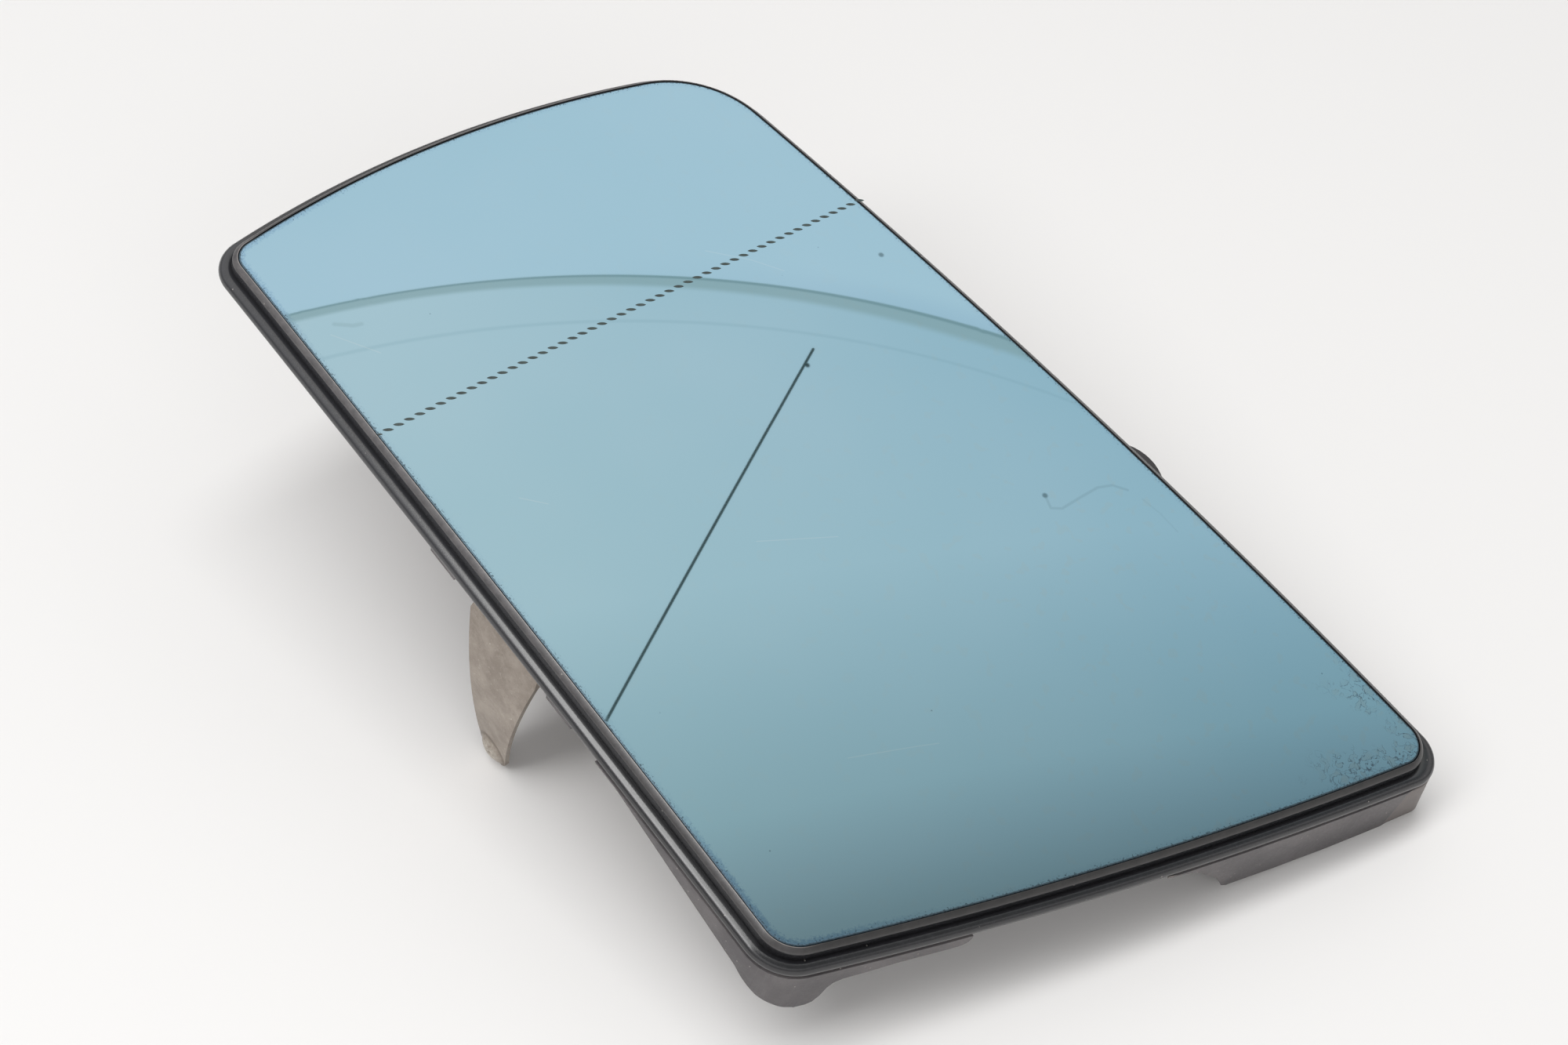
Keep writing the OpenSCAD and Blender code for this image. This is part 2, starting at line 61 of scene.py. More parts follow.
WEB_HOLE_R, WEB_DISC_R = 9.0, 19.0
RIVET_R, RIVET_SPAN, RIVET_NEAR = 1.6, 36.0, 14.0
FIT = 0.1
MIDDLE = CORNERS.mean(axis=0)


# Outline of the pane: four bowed sides joined by tangent corner arcs
def chord(i):
    """Vector from corner i to the next one."""
    return CORNERS[(i + 1) % 4] - CORNERS[i]


def side_r(i):
    """Radius of the bowed side i, from its chord and its bow."""
    return (np.dot(chord(i), chord(i)) / 4 + BOWS[i] ** 2) / (2 * BOWS[i])


def side_c(i):
    """Centre of the bowed side i."""
    c = chord(i)
    return CORNERS[i] + c / 2 + np.array([-c[1], c[0]]) / np.linalg.norm(c) * (side_r(i) - BOWS[i])


def meet(c1, r1, c2, r2, near):
    """Where two circles meet, the point nearer to a given one."""
    d = np.linalg.norm(c2 - c1)
    a = (r1 * r1 - r2 * r2 + d * d) / (2 * d)
    h = math.sqrt(max(r1 * r1 - a * a, 0))
    m = c1 + (c2 - c1) * a / d
    w = np.array([-(c2 - c1)[1], (c2 - c1)[0]]) / d
    return min((m + w * h, m - w * h), key=lambda p: np.linalg.norm(p - near))


def corner_c(i):
    """Centre of the corner arc that touches both sides at corner i."""
    j = (i + 3) % 4
    return meet(side_c(j), side_r(j) - RADII[i], side_c(i), side_r(i) - RADII[i], CORNERS[i])


def angle_of(v):
    return math.atan2(v[1], v[0])


def ahead(a, b):
    """Angle b as the turn from a that is less than half a circle."""
    return a + (b - a + 3 * math.pi) % (2 * math.pi) - math.pi


def make_stations(corner_n, spacing):
    """Rows of centre x, centre y, radius and angle round the outline."""
    rows = []
    for i in range(4):
        j = (i + 3) % 4
        c0, c1 = corner_c(i), corner_c((i + 1) % 4)
        a = angle_of(c0 - side_c(j))
        b = ahead(a, angle_of(c0 - side_c(i)))
        rows += [[*c0, RADII[i], a + (b - a) * k / corner_n] for k in range(corner_n + 1)]
        a = angle_of(c0 - side_c(i))
        b = ahead(a, angle_of(c1 - side_c(i)))
        n = max(int(abs(b - a) * side_r(i) / spacing), 4)
        rows += [[*side_c(i), side_r(i), a + (b - a) * k / n] for k in range(1, n)]
    return np.array(rows)


def at(stations, off):
    """Points of the outline moved outwards by off."""
    r = stations[:, 2] + off
    return stations[:, :2] + np.stack([r * np.cos(stations[:, 3]), r * np.sin(stations[:, 3])], axis=1)


def cap(p):
    """Height of the convex face over its tangent plane in the middle."""
    return -((p - MIDDLE) ** 2).sum(axis=-1) / (2 * FACE_R)


# How the whole leans and rests, as in the part's source
foot_x = corner_c(3)[0] - RADII[3] - SKIRT_X
tip_x = BRACKET_X - TIP_BACK
LEAN = (math.atan2(TIP_D - FOOT_D, tip_x - foot_x)
        + math.asin(TIP_R / math.hypot(tip_x - foot_x, TIP_D - FOOT_D)))
LEAN_C, LEAN_S = math.cos(LEAN), math.sin(LEAN)


def leaned(p):
    """Points turned by the lean of the whole."""
    return np.stack([p[..., 0] * LEAN_C - p[..., 2] * LEAN_S, p[..., 1],
                     p[..., 0] * LEAN_S + p[..., 2] * LEAN_C], axis=-1)


def with_z(p, z):
    """Flat points with a height."""
    return np.concatenate([p, np.broadcast_to(z, p.shape[:-1])[..., None]], axis=-1)


rough_stations = make_stations(7, 20)
rim_pts = np.concatenate([leaned(with_z(at(rough_stations, off), cap(at(rough_stations, off)) + z))
                          for off, z in ((GLASS_GAP, LIP_H), (BEAD_X + BEAD_R, -BEAD_D))])
REST = (rim_pts.min(axis=0) + rim_pts.max(axis=0)) / 2
REST[2] = leaned(np.array([foot_x, 0.0, -FOOT_D]))[2]


def place(p):
    """World positions in metres of points drawn in the pane's plane in millimetres."""
    q = leaned(np.asarray(p, float)) - REST
    return q * np.array([1, -1, 1]) / 1000


def world_dir(v):
    """World direction of a direction in the pane's plane."""
    return leaned(np.asarray(v, float)) * np.array([1, -1, 1])


# Meshes
def make_object(name, verts, faces, attributes, smooth):
    """An object from points in the pane's plane. attributes are values per point, and edges sharper
    than the angle smooth stay sharp."""
    mesh = bpy.data.meshes.new(name)
    mesh.from_pydata(place(verts).tolist(), [], faces)
    for key, values in attributes.items():
        values = np.asarray(values, np.float32)
        kind = "FLOAT_VECTOR" if values.ndim == 2 else "FLOAT"
        layer = mesh.attributes.new(key, kind, "POINT")
        layer.data.foreach_set("vector" if values.ndim == 2 else "value", values.ravel())
    bm = bmesh.new()
    bm.from_mesh(mesh)
    bmesh.ops.recalc_face_normals(bm, faces=bm.faces)
    bm.to_mesh(mesh)
    bm.free()
    obj = bpy.data.objects.new(name, mesh)
    bpy.context.scene.collection.objects.link(obj)
    mesh.shade_smooth()
    mesh.set_sharp_from_angle(angle=math.radians(smooth))
    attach(obj, "root")
    return obj


def ring_faces(n, m):
    """Quads of n rings of m points, closed round the rings and from the last ring to the first."""
    faces = []
    for i in range(n):
        k = (i + 1) % n
        for j in range(m):
            l = (j + 1) % m
            faces.append((i * m + j, i * m + l, k * m + l, k * m + j))
    return faces


def lengths_along(points):
    """Distance of each point from the first, along the line."""
    step = np.linalg.norm(np.roll(points, -1, axis=0) - points, axis=1)
    return np.concatenate([[0], np.cumsum(step)[:-1]])


# The rim and the skirt are sharper than an exact offset at this corner, the inner upper one
SHARP = 3
# Walls move out with that corner in full where they are SHARP_OVER beyond SHARP_FROM
SHARP_FROM, SHARP_OVER = 1.3, 1.5
# A depth in a section from here on is measured from the sweep's bottom
FROM_BOTTOM = 1000


def sharpened(stations, less):
    """How far points move where the sharp corner's radius is less by this much than the offset's."""
    a = angle_of(corner_c(SHARP) - side_c(SHARP - 1))
    b = ahead(a, angle_of(corner_c(SHARP) - side_c(SHARP)))
    n1, n2 = np.array([math.cos(a), math.sin(a)]), np.array([math.cos(b), math.sin(b)])
    tip = (n1 + n2) / (1 + n1 @ n2)
    n = np.stack([np.cos(stations[:, 3]), np.sin(stations[:, 3])], axis=1)
    here = np.linalg.norm(stations[:, :2] - corner_c(SHARP), axis=1) < 1e-6
    return np.where(here[:, None], less * (tip - n), 0.0)


def sweep(name, stations, section, smooth, less, bottom=None):
    """A closed section swept round the outline. Its points are the distance outwards and the depth.
    less is how much smaller the radius is at the sharp corner, at the top and at the bottom. bottom is
    the depth of the lower edge at each station, and a sweep that has one is open at its ends."""
    section = np.array(section, float)
    n, m = len(stations), len(section)
    pts, outs, depths = [], [], []
    for out, depth in section:
        share = min(max((out - SHARP_FROM) / SHARP_OVER, 0), 1)
        from_bottom = depth >= FROM_BOTTOM
        p = at(stations, out) + sharpened(stations, share * (less[1] if from_bottom else less[0]))
        z = -(bottom - (depth - FROM_BOTTOM)) if from_bottom else cap(p) - depth
        pts.append(with_z(p, z))
        outs.append(np.full(n, out))
        depths.append(cap(p) - z)
    pts = np.stack(pts, axis=1).reshape(-1, 3)
    faces = ring_faces(n, m)
    if bottom is not None:
        ends = [tuple(range(m)), tuple((n - 1) * m + j for j in reversed(range(m)))]
        faces = faces[:(n - 1) * m] + ends
    outs, depths = np.stack(outs, axis=1).ravel(), np.stack(depths, axis=1).ravel()
    return make_object(name, pts, faces, {"out": outs, "deep": depths, "flat": pts}, smooth)


def arc(c, r, a, b, n):
    """Points on an arc, angles in degrees."""
    t = np.radians(np.linspace(a, b, n + 1))
    return [(c[0] + r * math.cos(x), c[1] + r * math.sin(x)) for x in t]


# Colours and node materials
def srgb(r, g, b):
    """Linear colour of an eight-bit one."""
    def one(v):
        v /= 255
        return v / 12.92 if v <= 0.04045 else ((v + 0.055) / 1.055) ** 2.4
    return (one(r), one(g), one(b), 1.0)


class Paint:
    """A node material with short calls for its nodes."""

    def __init__(self, name, **values):
        self.material = bpy.data.materials.new(name)
        self.material.use_nodes = True
        self.tree = self.material.node_tree
        self.shader = self.tree.nodes["Principled BSDF"]
        for key, value in values.items():
            self.set(key.replace("_", " ").title(), value)

    def set(self, socket, value):
        """Sets or links a socket of the shader."""
        if isinstance(value, bpy.types.NodeSocket):
            self.tree.links.new(value, self.shader.inputs[socket])
        else:
            self.shader.inputs[socket].default_value = value

    def node(self, kind, out=0, props=None, **inputs):
        """A new node's output. An input is given by its name, or by its number after an i."""
        n = self.tree.nodes.new(kind)
        for key, value in (props or {}).items():
            setattr(n, key, value)
        for key, value in inputs.items():
            socket = n.inputs[int(key[1:])] if key[0] == "i" and key[1:].isdigit() else n.inputs[key]
            if isinstance(value, bpy.types.NodeSocket):
                self.tree.links.new(value, socket)
            else:
                socket.default_value = value
        return n.outputs[out]

    def math(self, op, a, b=0.0, c=0.0):
        return self.node("ShaderNodeMath", props={"operation": op}, i0=a, i1=b, i2=c)

    def mul(self, *values):
        total = values[0]
        for v in values[1:]:
            total = self.math("MULTIPLY", total, v)
        return total

    def step(self, value, low, high, to_low=0.0, to_high=1.0):
        """A smooth step of value from low to high."""
        return self.node("ShaderNodeMapRange", props={"interpolation_type": "SMOOTHSTEP"},
                         i0=value, i1=low, i2=high, i3=to_low, i4=to_high)

    def mix(self, factor, a, b):
        return self.node("ShaderNodeMix", 2, {"data_type": "RGBA"}, i0=factor, i6=a, i7=b)

    def attribute(self, name, out=2):
        return self.node("ShaderNodeAttribute", out, {"attribute_name": name})

    def scaled(self, vector, x, y, z):
        return self.node("ShaderNodeVectorMath", props={"operation": "MULTIPLY"}, i0=vector, i1=(x, y, z))

    def noise(self, vector, scale, detail=4.0, rough=0.55):
        return self.node("ShaderNodeTexNoise", 0, None,
                         Vector=vector, Scale=scale, Detail=detail, Roughness=rough)

    def walls(self, vector, scale):
        """Distance to the nearest wall of a pattern of cells."""
        return self.node("ShaderNodeTexVoronoi", 0, {"feature": "DISTANCE_TO_EDGE"},
                         Vector=vector, Scale=scale)

    def spots(self, vector, scale, far, near, low, high):
        """Round spots in those cells of a pattern whose random value is over low to high."""
        cells = self.node("ShaderNodeTexVoronoi", 0, None, Vector=vector, Scale=scale).node
        value = self.node("ShaderNodeSeparateColor", 0, None, Color=cells.outputs["Color"])
        return self.mul(self.step(cells.outputs["Distance"], far, near), self.step(value, low, high))

    def around(self, value, middle, far, near):
        """1 where a value is closer than near to its middle, down to 0 at far from it."""
        return self.step(self.math("ABSOLUTE", self.math("SUBTRACT", value, middle)), far, near)

    def axis(self, vector, which):
        return self.node("ShaderNodeSeparateXYZ", which, None, Vector=vector)

    def vec(self, op, a, b=(0.0, 0.0, 0.0), out=0):
        return self.node("ShaderNodeVectorMath", out, {"operation": op}, i0=a, i1=b)

    def apart(self, vector, point):
        """Distance of a vector from a fixed point of the pane's plane."""
        return self.vec("DISTANCE", vector, (*point, 0.0), 1)

    def along_line(self, vector, points):
        """Distance of a vector from a line through points of the pane's plane."""
        nearest = None
        for a, b in zip(points, points[1:]):
            run = (b[0] - a[0], b[1] - a[1], 0.0)
            squared = run[0] ** 2 + run[1] ** 2
            off = self.vec("SUBTRACT", vector, (*a, 0.0))
            t = self.vec("DOT_PRODUCT", off, (run[0] / squared, run[1] / squared, 0.0), 1)
            t = self.math("MINIMUM", self.math("MAXIMUM", t, 0.0), 1.0)
            foot = self.node("ShaderNodeVectorMath", 0, {"operation": "SCALE"}, i0=run, i3=t)
            gap = self.vec("DISTANCE", off, foot, 1)
            nearest = gap if nearest is None else self.math("MINIMUM", nearest, gap)
        return nearest

    def position(self):
        """World position in millimetres. Every piece's mesh is drawn in place."""
        return self.scaled(self.node("ShaderNodeTexCoord", 3), 1000, 1000, 1000)

    def bump(self, height, strength, distance):
        n = self.node("ShaderNodeBump", 0, None, Strength=strength, Distance=distance, Height=height)
        self.set("Normal", n)

    def on(self, obj):
        obj.data.materials.clear()
        obj.data.materials.append(self.material)


# Pane: rings that follow the edge, then rings that close in on the middle
BACK_ROUND = 0.25
PANE_BANDS = (0.6, 1.0, 1.5, 2.1, 2.7, 3.3)
FACE_RINGS, BACK_RINGS = 34, 6
pane_stations = make_stations(16, 1.6)
pane_rings = [(0.0, GLASS_T - BACK_ROUND), (0.0, 0.22), (-0.05, 0.1), (-0.14, 0.03), (-0.28, 0.0)]
top = [with_z(at(pane_stations, off), cap(at(pane_stations, off)) - d) for off, d in pane_rings]
for off in PANE_BANDS:
    p = at(pane_stations, -off)
    top.append(with_z(p, cap(p)))
inner = at(pane_stations, -PANE_BANDS[-1])
for k in range(1, FACE_RINGS):
    p = MIDDLE + (inner - MIDDLE) * (1 - k / FACE_RINGS)
    top.append(with_z(p, cap(p)))
low_p = at(pane_stations, -BACK_ROUND)
low = [with_z(low_p, cap(low_p) - GLASS_T)]
for k in range(1, BACK_RINGS):
    p = MIDDLE + (low_p - MIDDLE) * (1 - k / BACK_RINGS)
    low.append(with_z(p, cap(p) - GLASS_T))
m = len(pane_stations)
rings = list(reversed(low)) + top
verts = np.concatenate(rings + [[[*MIDDLE, -GLASS_T]], [[*MIDDLE, 0.0]]])
faces = ring_faces(len(rings), m)[:-m]
last = (len(rings) - 1) * m
for j in range(m):
    l = (j + 1) % m
    faces.append((l, j, len(verts) - 2))
    faces.append((last + j, last + l, len(verts) - 1))
rim_line = at(pane_stations, 0)
inside = np.array([np.sqrt(((rim_line - v[:2]) ** 2).sum(axis=1)).min() for v in verts])
pane = make_object("mirror_pane", verts, faces, {"flat": verts, "inside": inside}, 50)
# The polished face takes the exact normals of its sphere
face_from = (len(low) + len(pane_rings) - 1) * m
on_face = np.arange(len(verts)) >= face_from
on_face[-2] = False
sphere = np.column_stack([verts[:, :2] - MIDDLE, np.full(len(verts), FACE_R)])
sphere = world_dir(sphere / np.linalg.norm(sphere, axis=1)[:, None])
normals = []
for polygon in pane.data.polygons:
    whole = all(on_face[v] for v in polygon.vertices)
    normals += [tuple(sphere[v]) if whole else (0.0, 0.0, 0.0) for v in polygon.vertices]
pane.data.normals_split_custom_set(normals)
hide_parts("mirror_glass")

# Marks on the pane, in its own plane in millimetres
HAIR = [(43.2, 93.6), (40.6, 92.8), (39.5, 94.6), (39.6, 99.0), (39.6, 103.5), (38.6, 106.3),
        (36.4, 108.2)]
HAIR_END = [(33.5, 109.4), (29.5, 110.3), (25.0, 110.6)]
DOTS = [(100.1, 101.3), HAIR[0]]
SCRATCHES = [[(116.8, 72.4), (111.0, 78.6), (106.0, 82.5)], [(134.6, 3.4), (127.0, 8.6)],
             [(62.0, 42.0), (55.5, 55.0)], [(21.0, 30.0), (16.5, 41.5), (15.0, 45.0)],
             [(90.0, 12.0), (86.5, 15.5)]]
PALE_MARK = [(133.9, 9.2), (134.3, 7.8), (136.2, 5.2)]
STAIN_AT, BLUE_AT, FAR_BLUE_AT = (-28.0, 117.0), (6.0, 2.0), (156.0, 3.0)
glass = Paint("blue_mirror", metallic=1.0)
flat = glass.scaled(glass.attribute("flat", 1), 1, 1, 0)
edge = glass.attribute("inside")
tint = glass.mix(glass.step(glass.noise(flat, 0.012, 3.0), 0.35, 0.7),
                 (0.345, 0.54, 0.645, 1), (0.37, 0.555, 0.66, 1))
# Faint warm blotches, denser towards the upper edge
swirl = glass.node("ShaderNodeTexNoise", 1, None, Vector=flat, Scale=0.6, Detail=3.0)
warped = glass.vec("ADD", flat, glass.scaled(swirl, 1.6, 1.6, 0))
blots = glass.noise(warped, 0.34, 1.5, 0.5)
high = glass.step(glass.axis(flat, 1), 10.0, 100.0, 0.3, 1.0)
near_end = glass.step(glass.axis(flat, 0), 110.0, 20.0, 0.25, 1.0)
tint = glass.mix(glass.mul(glass.step(blots, 0.6, 0.68), high, near_end, 0.2), tint, (0.42, 0.50, 0.50, 1))
# Stains at the inner upper corner: blots with a thin dark outline
near_stain = glass.mul(glass.step(glass.apart(flat, STAIN_AT), 27.0, 7.0), glass.step(edge, 11.0, 3.0))
cloud = glass.noise(flat, 0.11, 3.0, 0.6)
cover = glass.step(glass.math("ADD", cloud, glass.mul(near_stain, 0.2)), 0.56, 0.68)
stains = glass.mul(near_stain, cover)
small = glass.noise(glass.vec("ADD", warped, (9.0, 4.0, 0)), 0.62, 1.5, 0.5)
outline = glass.math("MAXIMUM", glass.around(small, 0.54, 0.022, 0.006),
                     glass.around(blots, 0.52, 0.012, 0.003))
outline = glass.mul(outline, glass.step(glass.noise(flat, 1.9, 4.0, 0.7), 0.36, 0.56))
tint = glass.mix(glass.mul(glass.step(small, 0.52, 0.6), stains, 0.35), tint, (0.36, 0.43, 0.44, 1))
tint = glass.mix(glass.mul(outline, stains, 0.85), tint, (0.10, 0.13, 0.17, 1))
# Blue tarnish along the edges, most of it at the two corners of the lower side
rough_edge = glass.noise(flat, 1.7, 6.0, 0.8)
near_blue = glass.math("MAXIMUM", glass.step(glass.apart(flat, BLUE_AT), 30.0, 6.0, 0.15, 1.0),
                       glass.step(glass.apart(flat, FAR_BLUE_AT), 34.0, 8.0, 0.0, 0.6))
eaten = glass.step(glass.math("SUBTRACT", edge, glass.mul(rough_edge, 4.0)), -0.6, -1.4)
tarnish = glass.mul(eaten, near_blue)
tint = glass.mix(glass.mul(tarnish, 0.65), tint, (0.15, 0.29, 0.46, 1))
# Small dark nicks in the coating's edge
nick = glass.noise(glass.vec("ADD", flat, (7.0, 3.0, 0)), 2.6, 2.0, 0.8)
nick_depth = glass.math("MULTIPLY_ADD", nick, 5.5, -2.75)
deep_nick = glass.step(glass.math("SUBTRACT", edge, nick_depth), 0.1, -0.12)
tint = glass.mix(glass.mul(deep_nick, 0.8), tint, (0.05, 0.07, 0.09, 1))
# Specks and dust
speck = glass.spots(flat, 0.13, 0.034, 0.018, 0.62, 0.64)
tint = glass.mix(glass.mul(speck, 0.55), tint, (0.10, 0.17, 0.21, 1))
dots = glass.math("MINIMUM", *(glass.apart(flat, dot) for dot in DOTS))
tint = glass.mix(glass.mul(glass.step(dots, 0.75, 0.25), 0.75), tint, (0.10, 0.17, 0.20, 1))
hair = glass.step(glass.along_line(flat, HAIR), 0.42, 0.1)
tint = glass.mix(glass.mul(hair, 0.22), tint, (0.16, 0.25, 0.29, 1))
tail = glass.step(glass.along_line(flat, HAIR_END), 0.3, 0.08)
tint = glass.mix(glass.mul(tail, 0.11), tint, (0.2, 0.3, 0.34, 1))
pale = glass.step(glass.along_line(flat, PALE_MARK), 0.7, 0.1)
tint = glass.mix(glass.mul(pale, 0.25), tint, (0.2, 0.32, 0.36, 1))
for line in SCRATCHES:
    scratch = glass.step(glass.along_line(flat, line), 0.16, 0.04)
    tint = glass.mix(glass.mul(scratch, 0.18), tint, (0.62, 0.7, 0.72, 1))
# The ground edge outside the coating is dull
arris = glass.step(edge, 0.38, 0.3)
tint = glass.mix(glass.mul(arris, 0.85), tint, (0.05, 0.07, 0.085, 1))
glass.set("Base Color", tint)
worn = glass.math("MAXIMUM", glass.mul(stains, 0.06), glass.mul(arris, 0.5))
glass.set("Roughness", glass.math("ADD", glass.math("ADD", worn, glass.mul(tarnish, 0.05)), 0.012))
glass.on(pane)

# Dashes of the dividing line, thin marks on the pane
DASH_FROM, DASH_TO = np.array([112.9, -0.29]), np.array([112.43, 107.03])
DASHES, DASH_LENGTH, DASH_WIDTH, DASH_SLANT = 50, 2.0, 0.6, math.radians(27)
DASH_LIFT, DASH_T = 0.012, 0.01
CUT_DASH, CUT_SIZE = np.array([112.83, -0.93]), 0.45
verts, faces = [], []
along = (DASH_TO - DASH_FROM) / np.linalg.norm(DASH_TO - DASH_FROM)
turned = np.array([along[0] * math.cos(DASH_SLANT) - along[1] * math.sin(DASH_SLANT),
                   along[0] * math.sin(DASH_SLANT) + along[1] * math.cos(DASH_SLANT)])
across = np.array([-turned[1], turned[0]])
# Each dash tapers to both ends, and the first one is cut short by the edge
marks = [(CUT_DASH, CUT_SIZE)]
marks += [(DASH_FROM + (DASH_TO - DASH_FROM) * (k + 0.5) / DASHES, 1.0) for k in range(DASHES)]
for c, size in marks:
    loop = []
    for side in (1, -1):
        for t in np.linspace(-1, 1, 9)[:-1]:
            wide = side * DASH_WIDTH / 2 * size ** 0.5 * (1 - abs(t) ** 2.4)
            loop.append(c + turned * side * t * DASH_LENGTH / 2 * size + across * wide)
    loop = np.array(loop)
    base = len(verts)
    for lift in (DASH_LIFT, DASH_LIFT - DASH_T):
        verts += with_z(loop, cap(loop) + lift).tolist()
    n = len(loop)
    faces.append(tuple(base + i for i in range(n)))
    faces.append(tuple(base + n + i for i in reversed(range(n))))
    faces += [(base + i, base + n + i, base + n + (i + 1) % n, base + (i + 1) % n) for i in range(n)]
dashes = make_object("dividing_line", np.array(verts), faces, {}, 30)
ink = Paint("dividing_line", roughness=0.4)
ink.set("Base Color", ink.mix(ink.step(ink.noise(ink.position(), 1.2, 3.0), 0.3, 0.7),
                              srgb(34, 48, 47), srgb(50, 66, 64)))
ink.on(dashes)

# Rim: a section with a flat underside, the bead, the groove and the sloping lip
# How much smaller its radius is at the sharp corner
RIM_LESS = 1.6
# Angles of the bead's round, below and above its outermost point
BEAD_LOW_END, BEAD_HIGH_END = 46, 128
rim_stations = make_stations(18, 1.2)
rim_low = BEAD_D + BEAD_R * math.sin(math.radians(BEAD_LOW_END))
seam_d = rim_low + SEAM_GAP
lip_out = GLASS_GAP + LIP_W
rim_section = (
    [(GLASS_GAP, rim_low), (1.6, rim_low), (2.5, rim_low - 0.02)]
    + [(BEAD_X + BEAD_R * math.cos(math.radians(a)), BEAD_D - BEAD_R * math.sin(math.radians(a)))
       for a in np.linspace(-BEAD_LOW_END, BEAD_HIGH_END, 24)]
    + [(GROOVE_X - 0.02, GROOVE_D + 0.06), (GROOVE_X - 0.07, GROOVE_D - 0.05),
       (GROOVE_X - 0.1, GROOVE_D - 0.3),
       (lip_out + 0.06, LIP_FALL - LIP_H + 0.45), (lip_out + 0.03, LIP_FALL - LIP_H + 0.2),
       (lip_out - 0.05, LIP_FALL - LIP_H + 0.04), (lip_out - 0.17, LIP_FALL - LIP_H - 0.1),
       (lip_out - 0.45, 0.27 - LIP_H), (GLASS_GAP + 0.2, 0.07 - LIP_H), (GLASS_GAP + 0.09, -LIP_H),
       (GLASS_GAP + 0.02, 0.03 - LIP_H), (GLASS_GAP, 0.14), (GLASS_GAP, 0.8)])
rim = sweep("rim", rim_stations, rim_section, 60, (RIM_LESS, RIM_LESS))
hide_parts("bezel_rim")
satin = Paint("rim_satin")
satin.set("Specular IOR Level", 0.8)
where = satin.position()
out, deep = satin.attribute("out"), satin.attribute("deep")
fine = satin.noise(where, 1.6, 5.0, 0.65)
grain = satin.noise(where, 9.0, 3.0, 0.6)
black = satin.mix(satin.step(fine, 0.35, 0.75), srgb(23, 23, 26), srgb(33, 33, 37))
# Dust on the sloping lip; along the lower edge the lip and bead are paler, partly dust and partly painted
# light; painted shade in the groove; rubbed bead
drawn = satin.attribute("flat", 1)
low_edge = satin.step(satin.axis(drawn, 1), 7.0, -0.5)
outer = satin.step(satin.axis(drawn, 0), 25.0, 100.0)
# Paler along the outer half of the lower edge: partly dust, partly a painted sheen for the soft light that
# side reflects
black = satin.mix(satin.mul(low_edge, outer, 0.45), black, srgb(52, 53, 58))
on_lip = satin.mul(satin.step(out, 1.12, 1.0), satin.step(deep, 1.2, 0.7))
dust = satin.noise(where, 0.6, 5.0, 0.7)
dusty = satin.mix(satin.step(dust, 0.35, 0.7), srgb(25, 23, 24), srgb(37, 35, 35))
pale = satin.mix(satin.step(dust, 0.3, 0.7), srgb(60, 58, 60), srgb(84, 81, 82))
# The lip is paler along the lower edge, most towards its outer end: partly dust, partly painted light on
# the side facing the light
lip_dust_and_light = satin.mul(low_edge, satin.step(outer, 0.0, 1.0, 0.4, 1.0))
black = satin.mix(on_lip, black, satin.mix(lip_dust_and_light, dusty, pale))
# Painted shade: the rim is darker down in the groove
groove_shade = satin.mul(satin.around(out, 1.2, 0.3, 0.1), satin.step(deep, 1.4, 2.2))
black = satin.mix(satin.mul(groove_shade, 0.35), black, srgb(22, 21, 22))
# Painted highlight along the lip's inner edge on the lower side
inner_edge_highlight = satin.mul(satin.step(out, 0.3, 0.2), satin.step(deep, 0.4, 0.2))
black = satin.mix(satin.mul(inner_edge_highlight, low_edge, 0.6), black, srgb(150, 144, 141))
# Painted reflection of the floor: the bead's underside is lighter
under = satin.step(deep, 4.2, 4.7)
black = satin.mix(satin.mul(under, 0.6), black, srgb(74, 70, 70))
rubbed = satin.noise(satin.scaled(where, 0.35, 0.35, 1.4), 1.1, 6.0, 0.8)
scuff = satin.mul(satin.step(rubbed, 0.66, 0.74), satin.step(grain, 0.45, 0.62),
                  satin.step(deep, 5.0, 3.4))
black = satin.mix(satin.mul(scuff, 0.55), black, srgb(120, 122, 132))
speck = satin.spots(where, 0.55, 0.09, 0.05, 0.8, 0.82)
black = satin.mix(satin.mul(speck, 0.7), black, srgb(150, 145, 140))
satin.set("Base Color", black)
lip_rough = satin.math("ADD", satin.mul(on_lip, 0.14), 0.17)
satin.set("Roughness", satin.math("ADD", satin.mul(fine, 0.12), lip_rough))
satin.bump(satin.math("ADD", grain, satin.mul(fine, 0.6)), 0.05, 0.00005)
satin.on(rim)

# Skirt of the carrier: two walls that hang from the ledge, whose lower edges follow the cuts
# X where the foot at the sharp corner ends
FOOT_END = CORNERS[SHARP][0] + 6
# The inner end's cuts start NEAR_FROM along it and stop NEAR_MARGIN before its other end
NEAR_FROM, NEAR_MARGIN = 4.6, 3
# Along that end, the low wall stops at LOW_RUN_END and the high wall starts at HIGH_RUN_FROM
LOW_RUN_END, HIGH_RUN_FROM, HIGH_RUN_AFTER = 33.3, 70, 80
# The lower side's cuts and wall lie under these, and the upper side's over HIGH_Y
LOW_Y, LOW_RUN_Y, HALF_Y, HIGH_Y = 3, 8, 50, 95
CUT_ROUND = 0.8
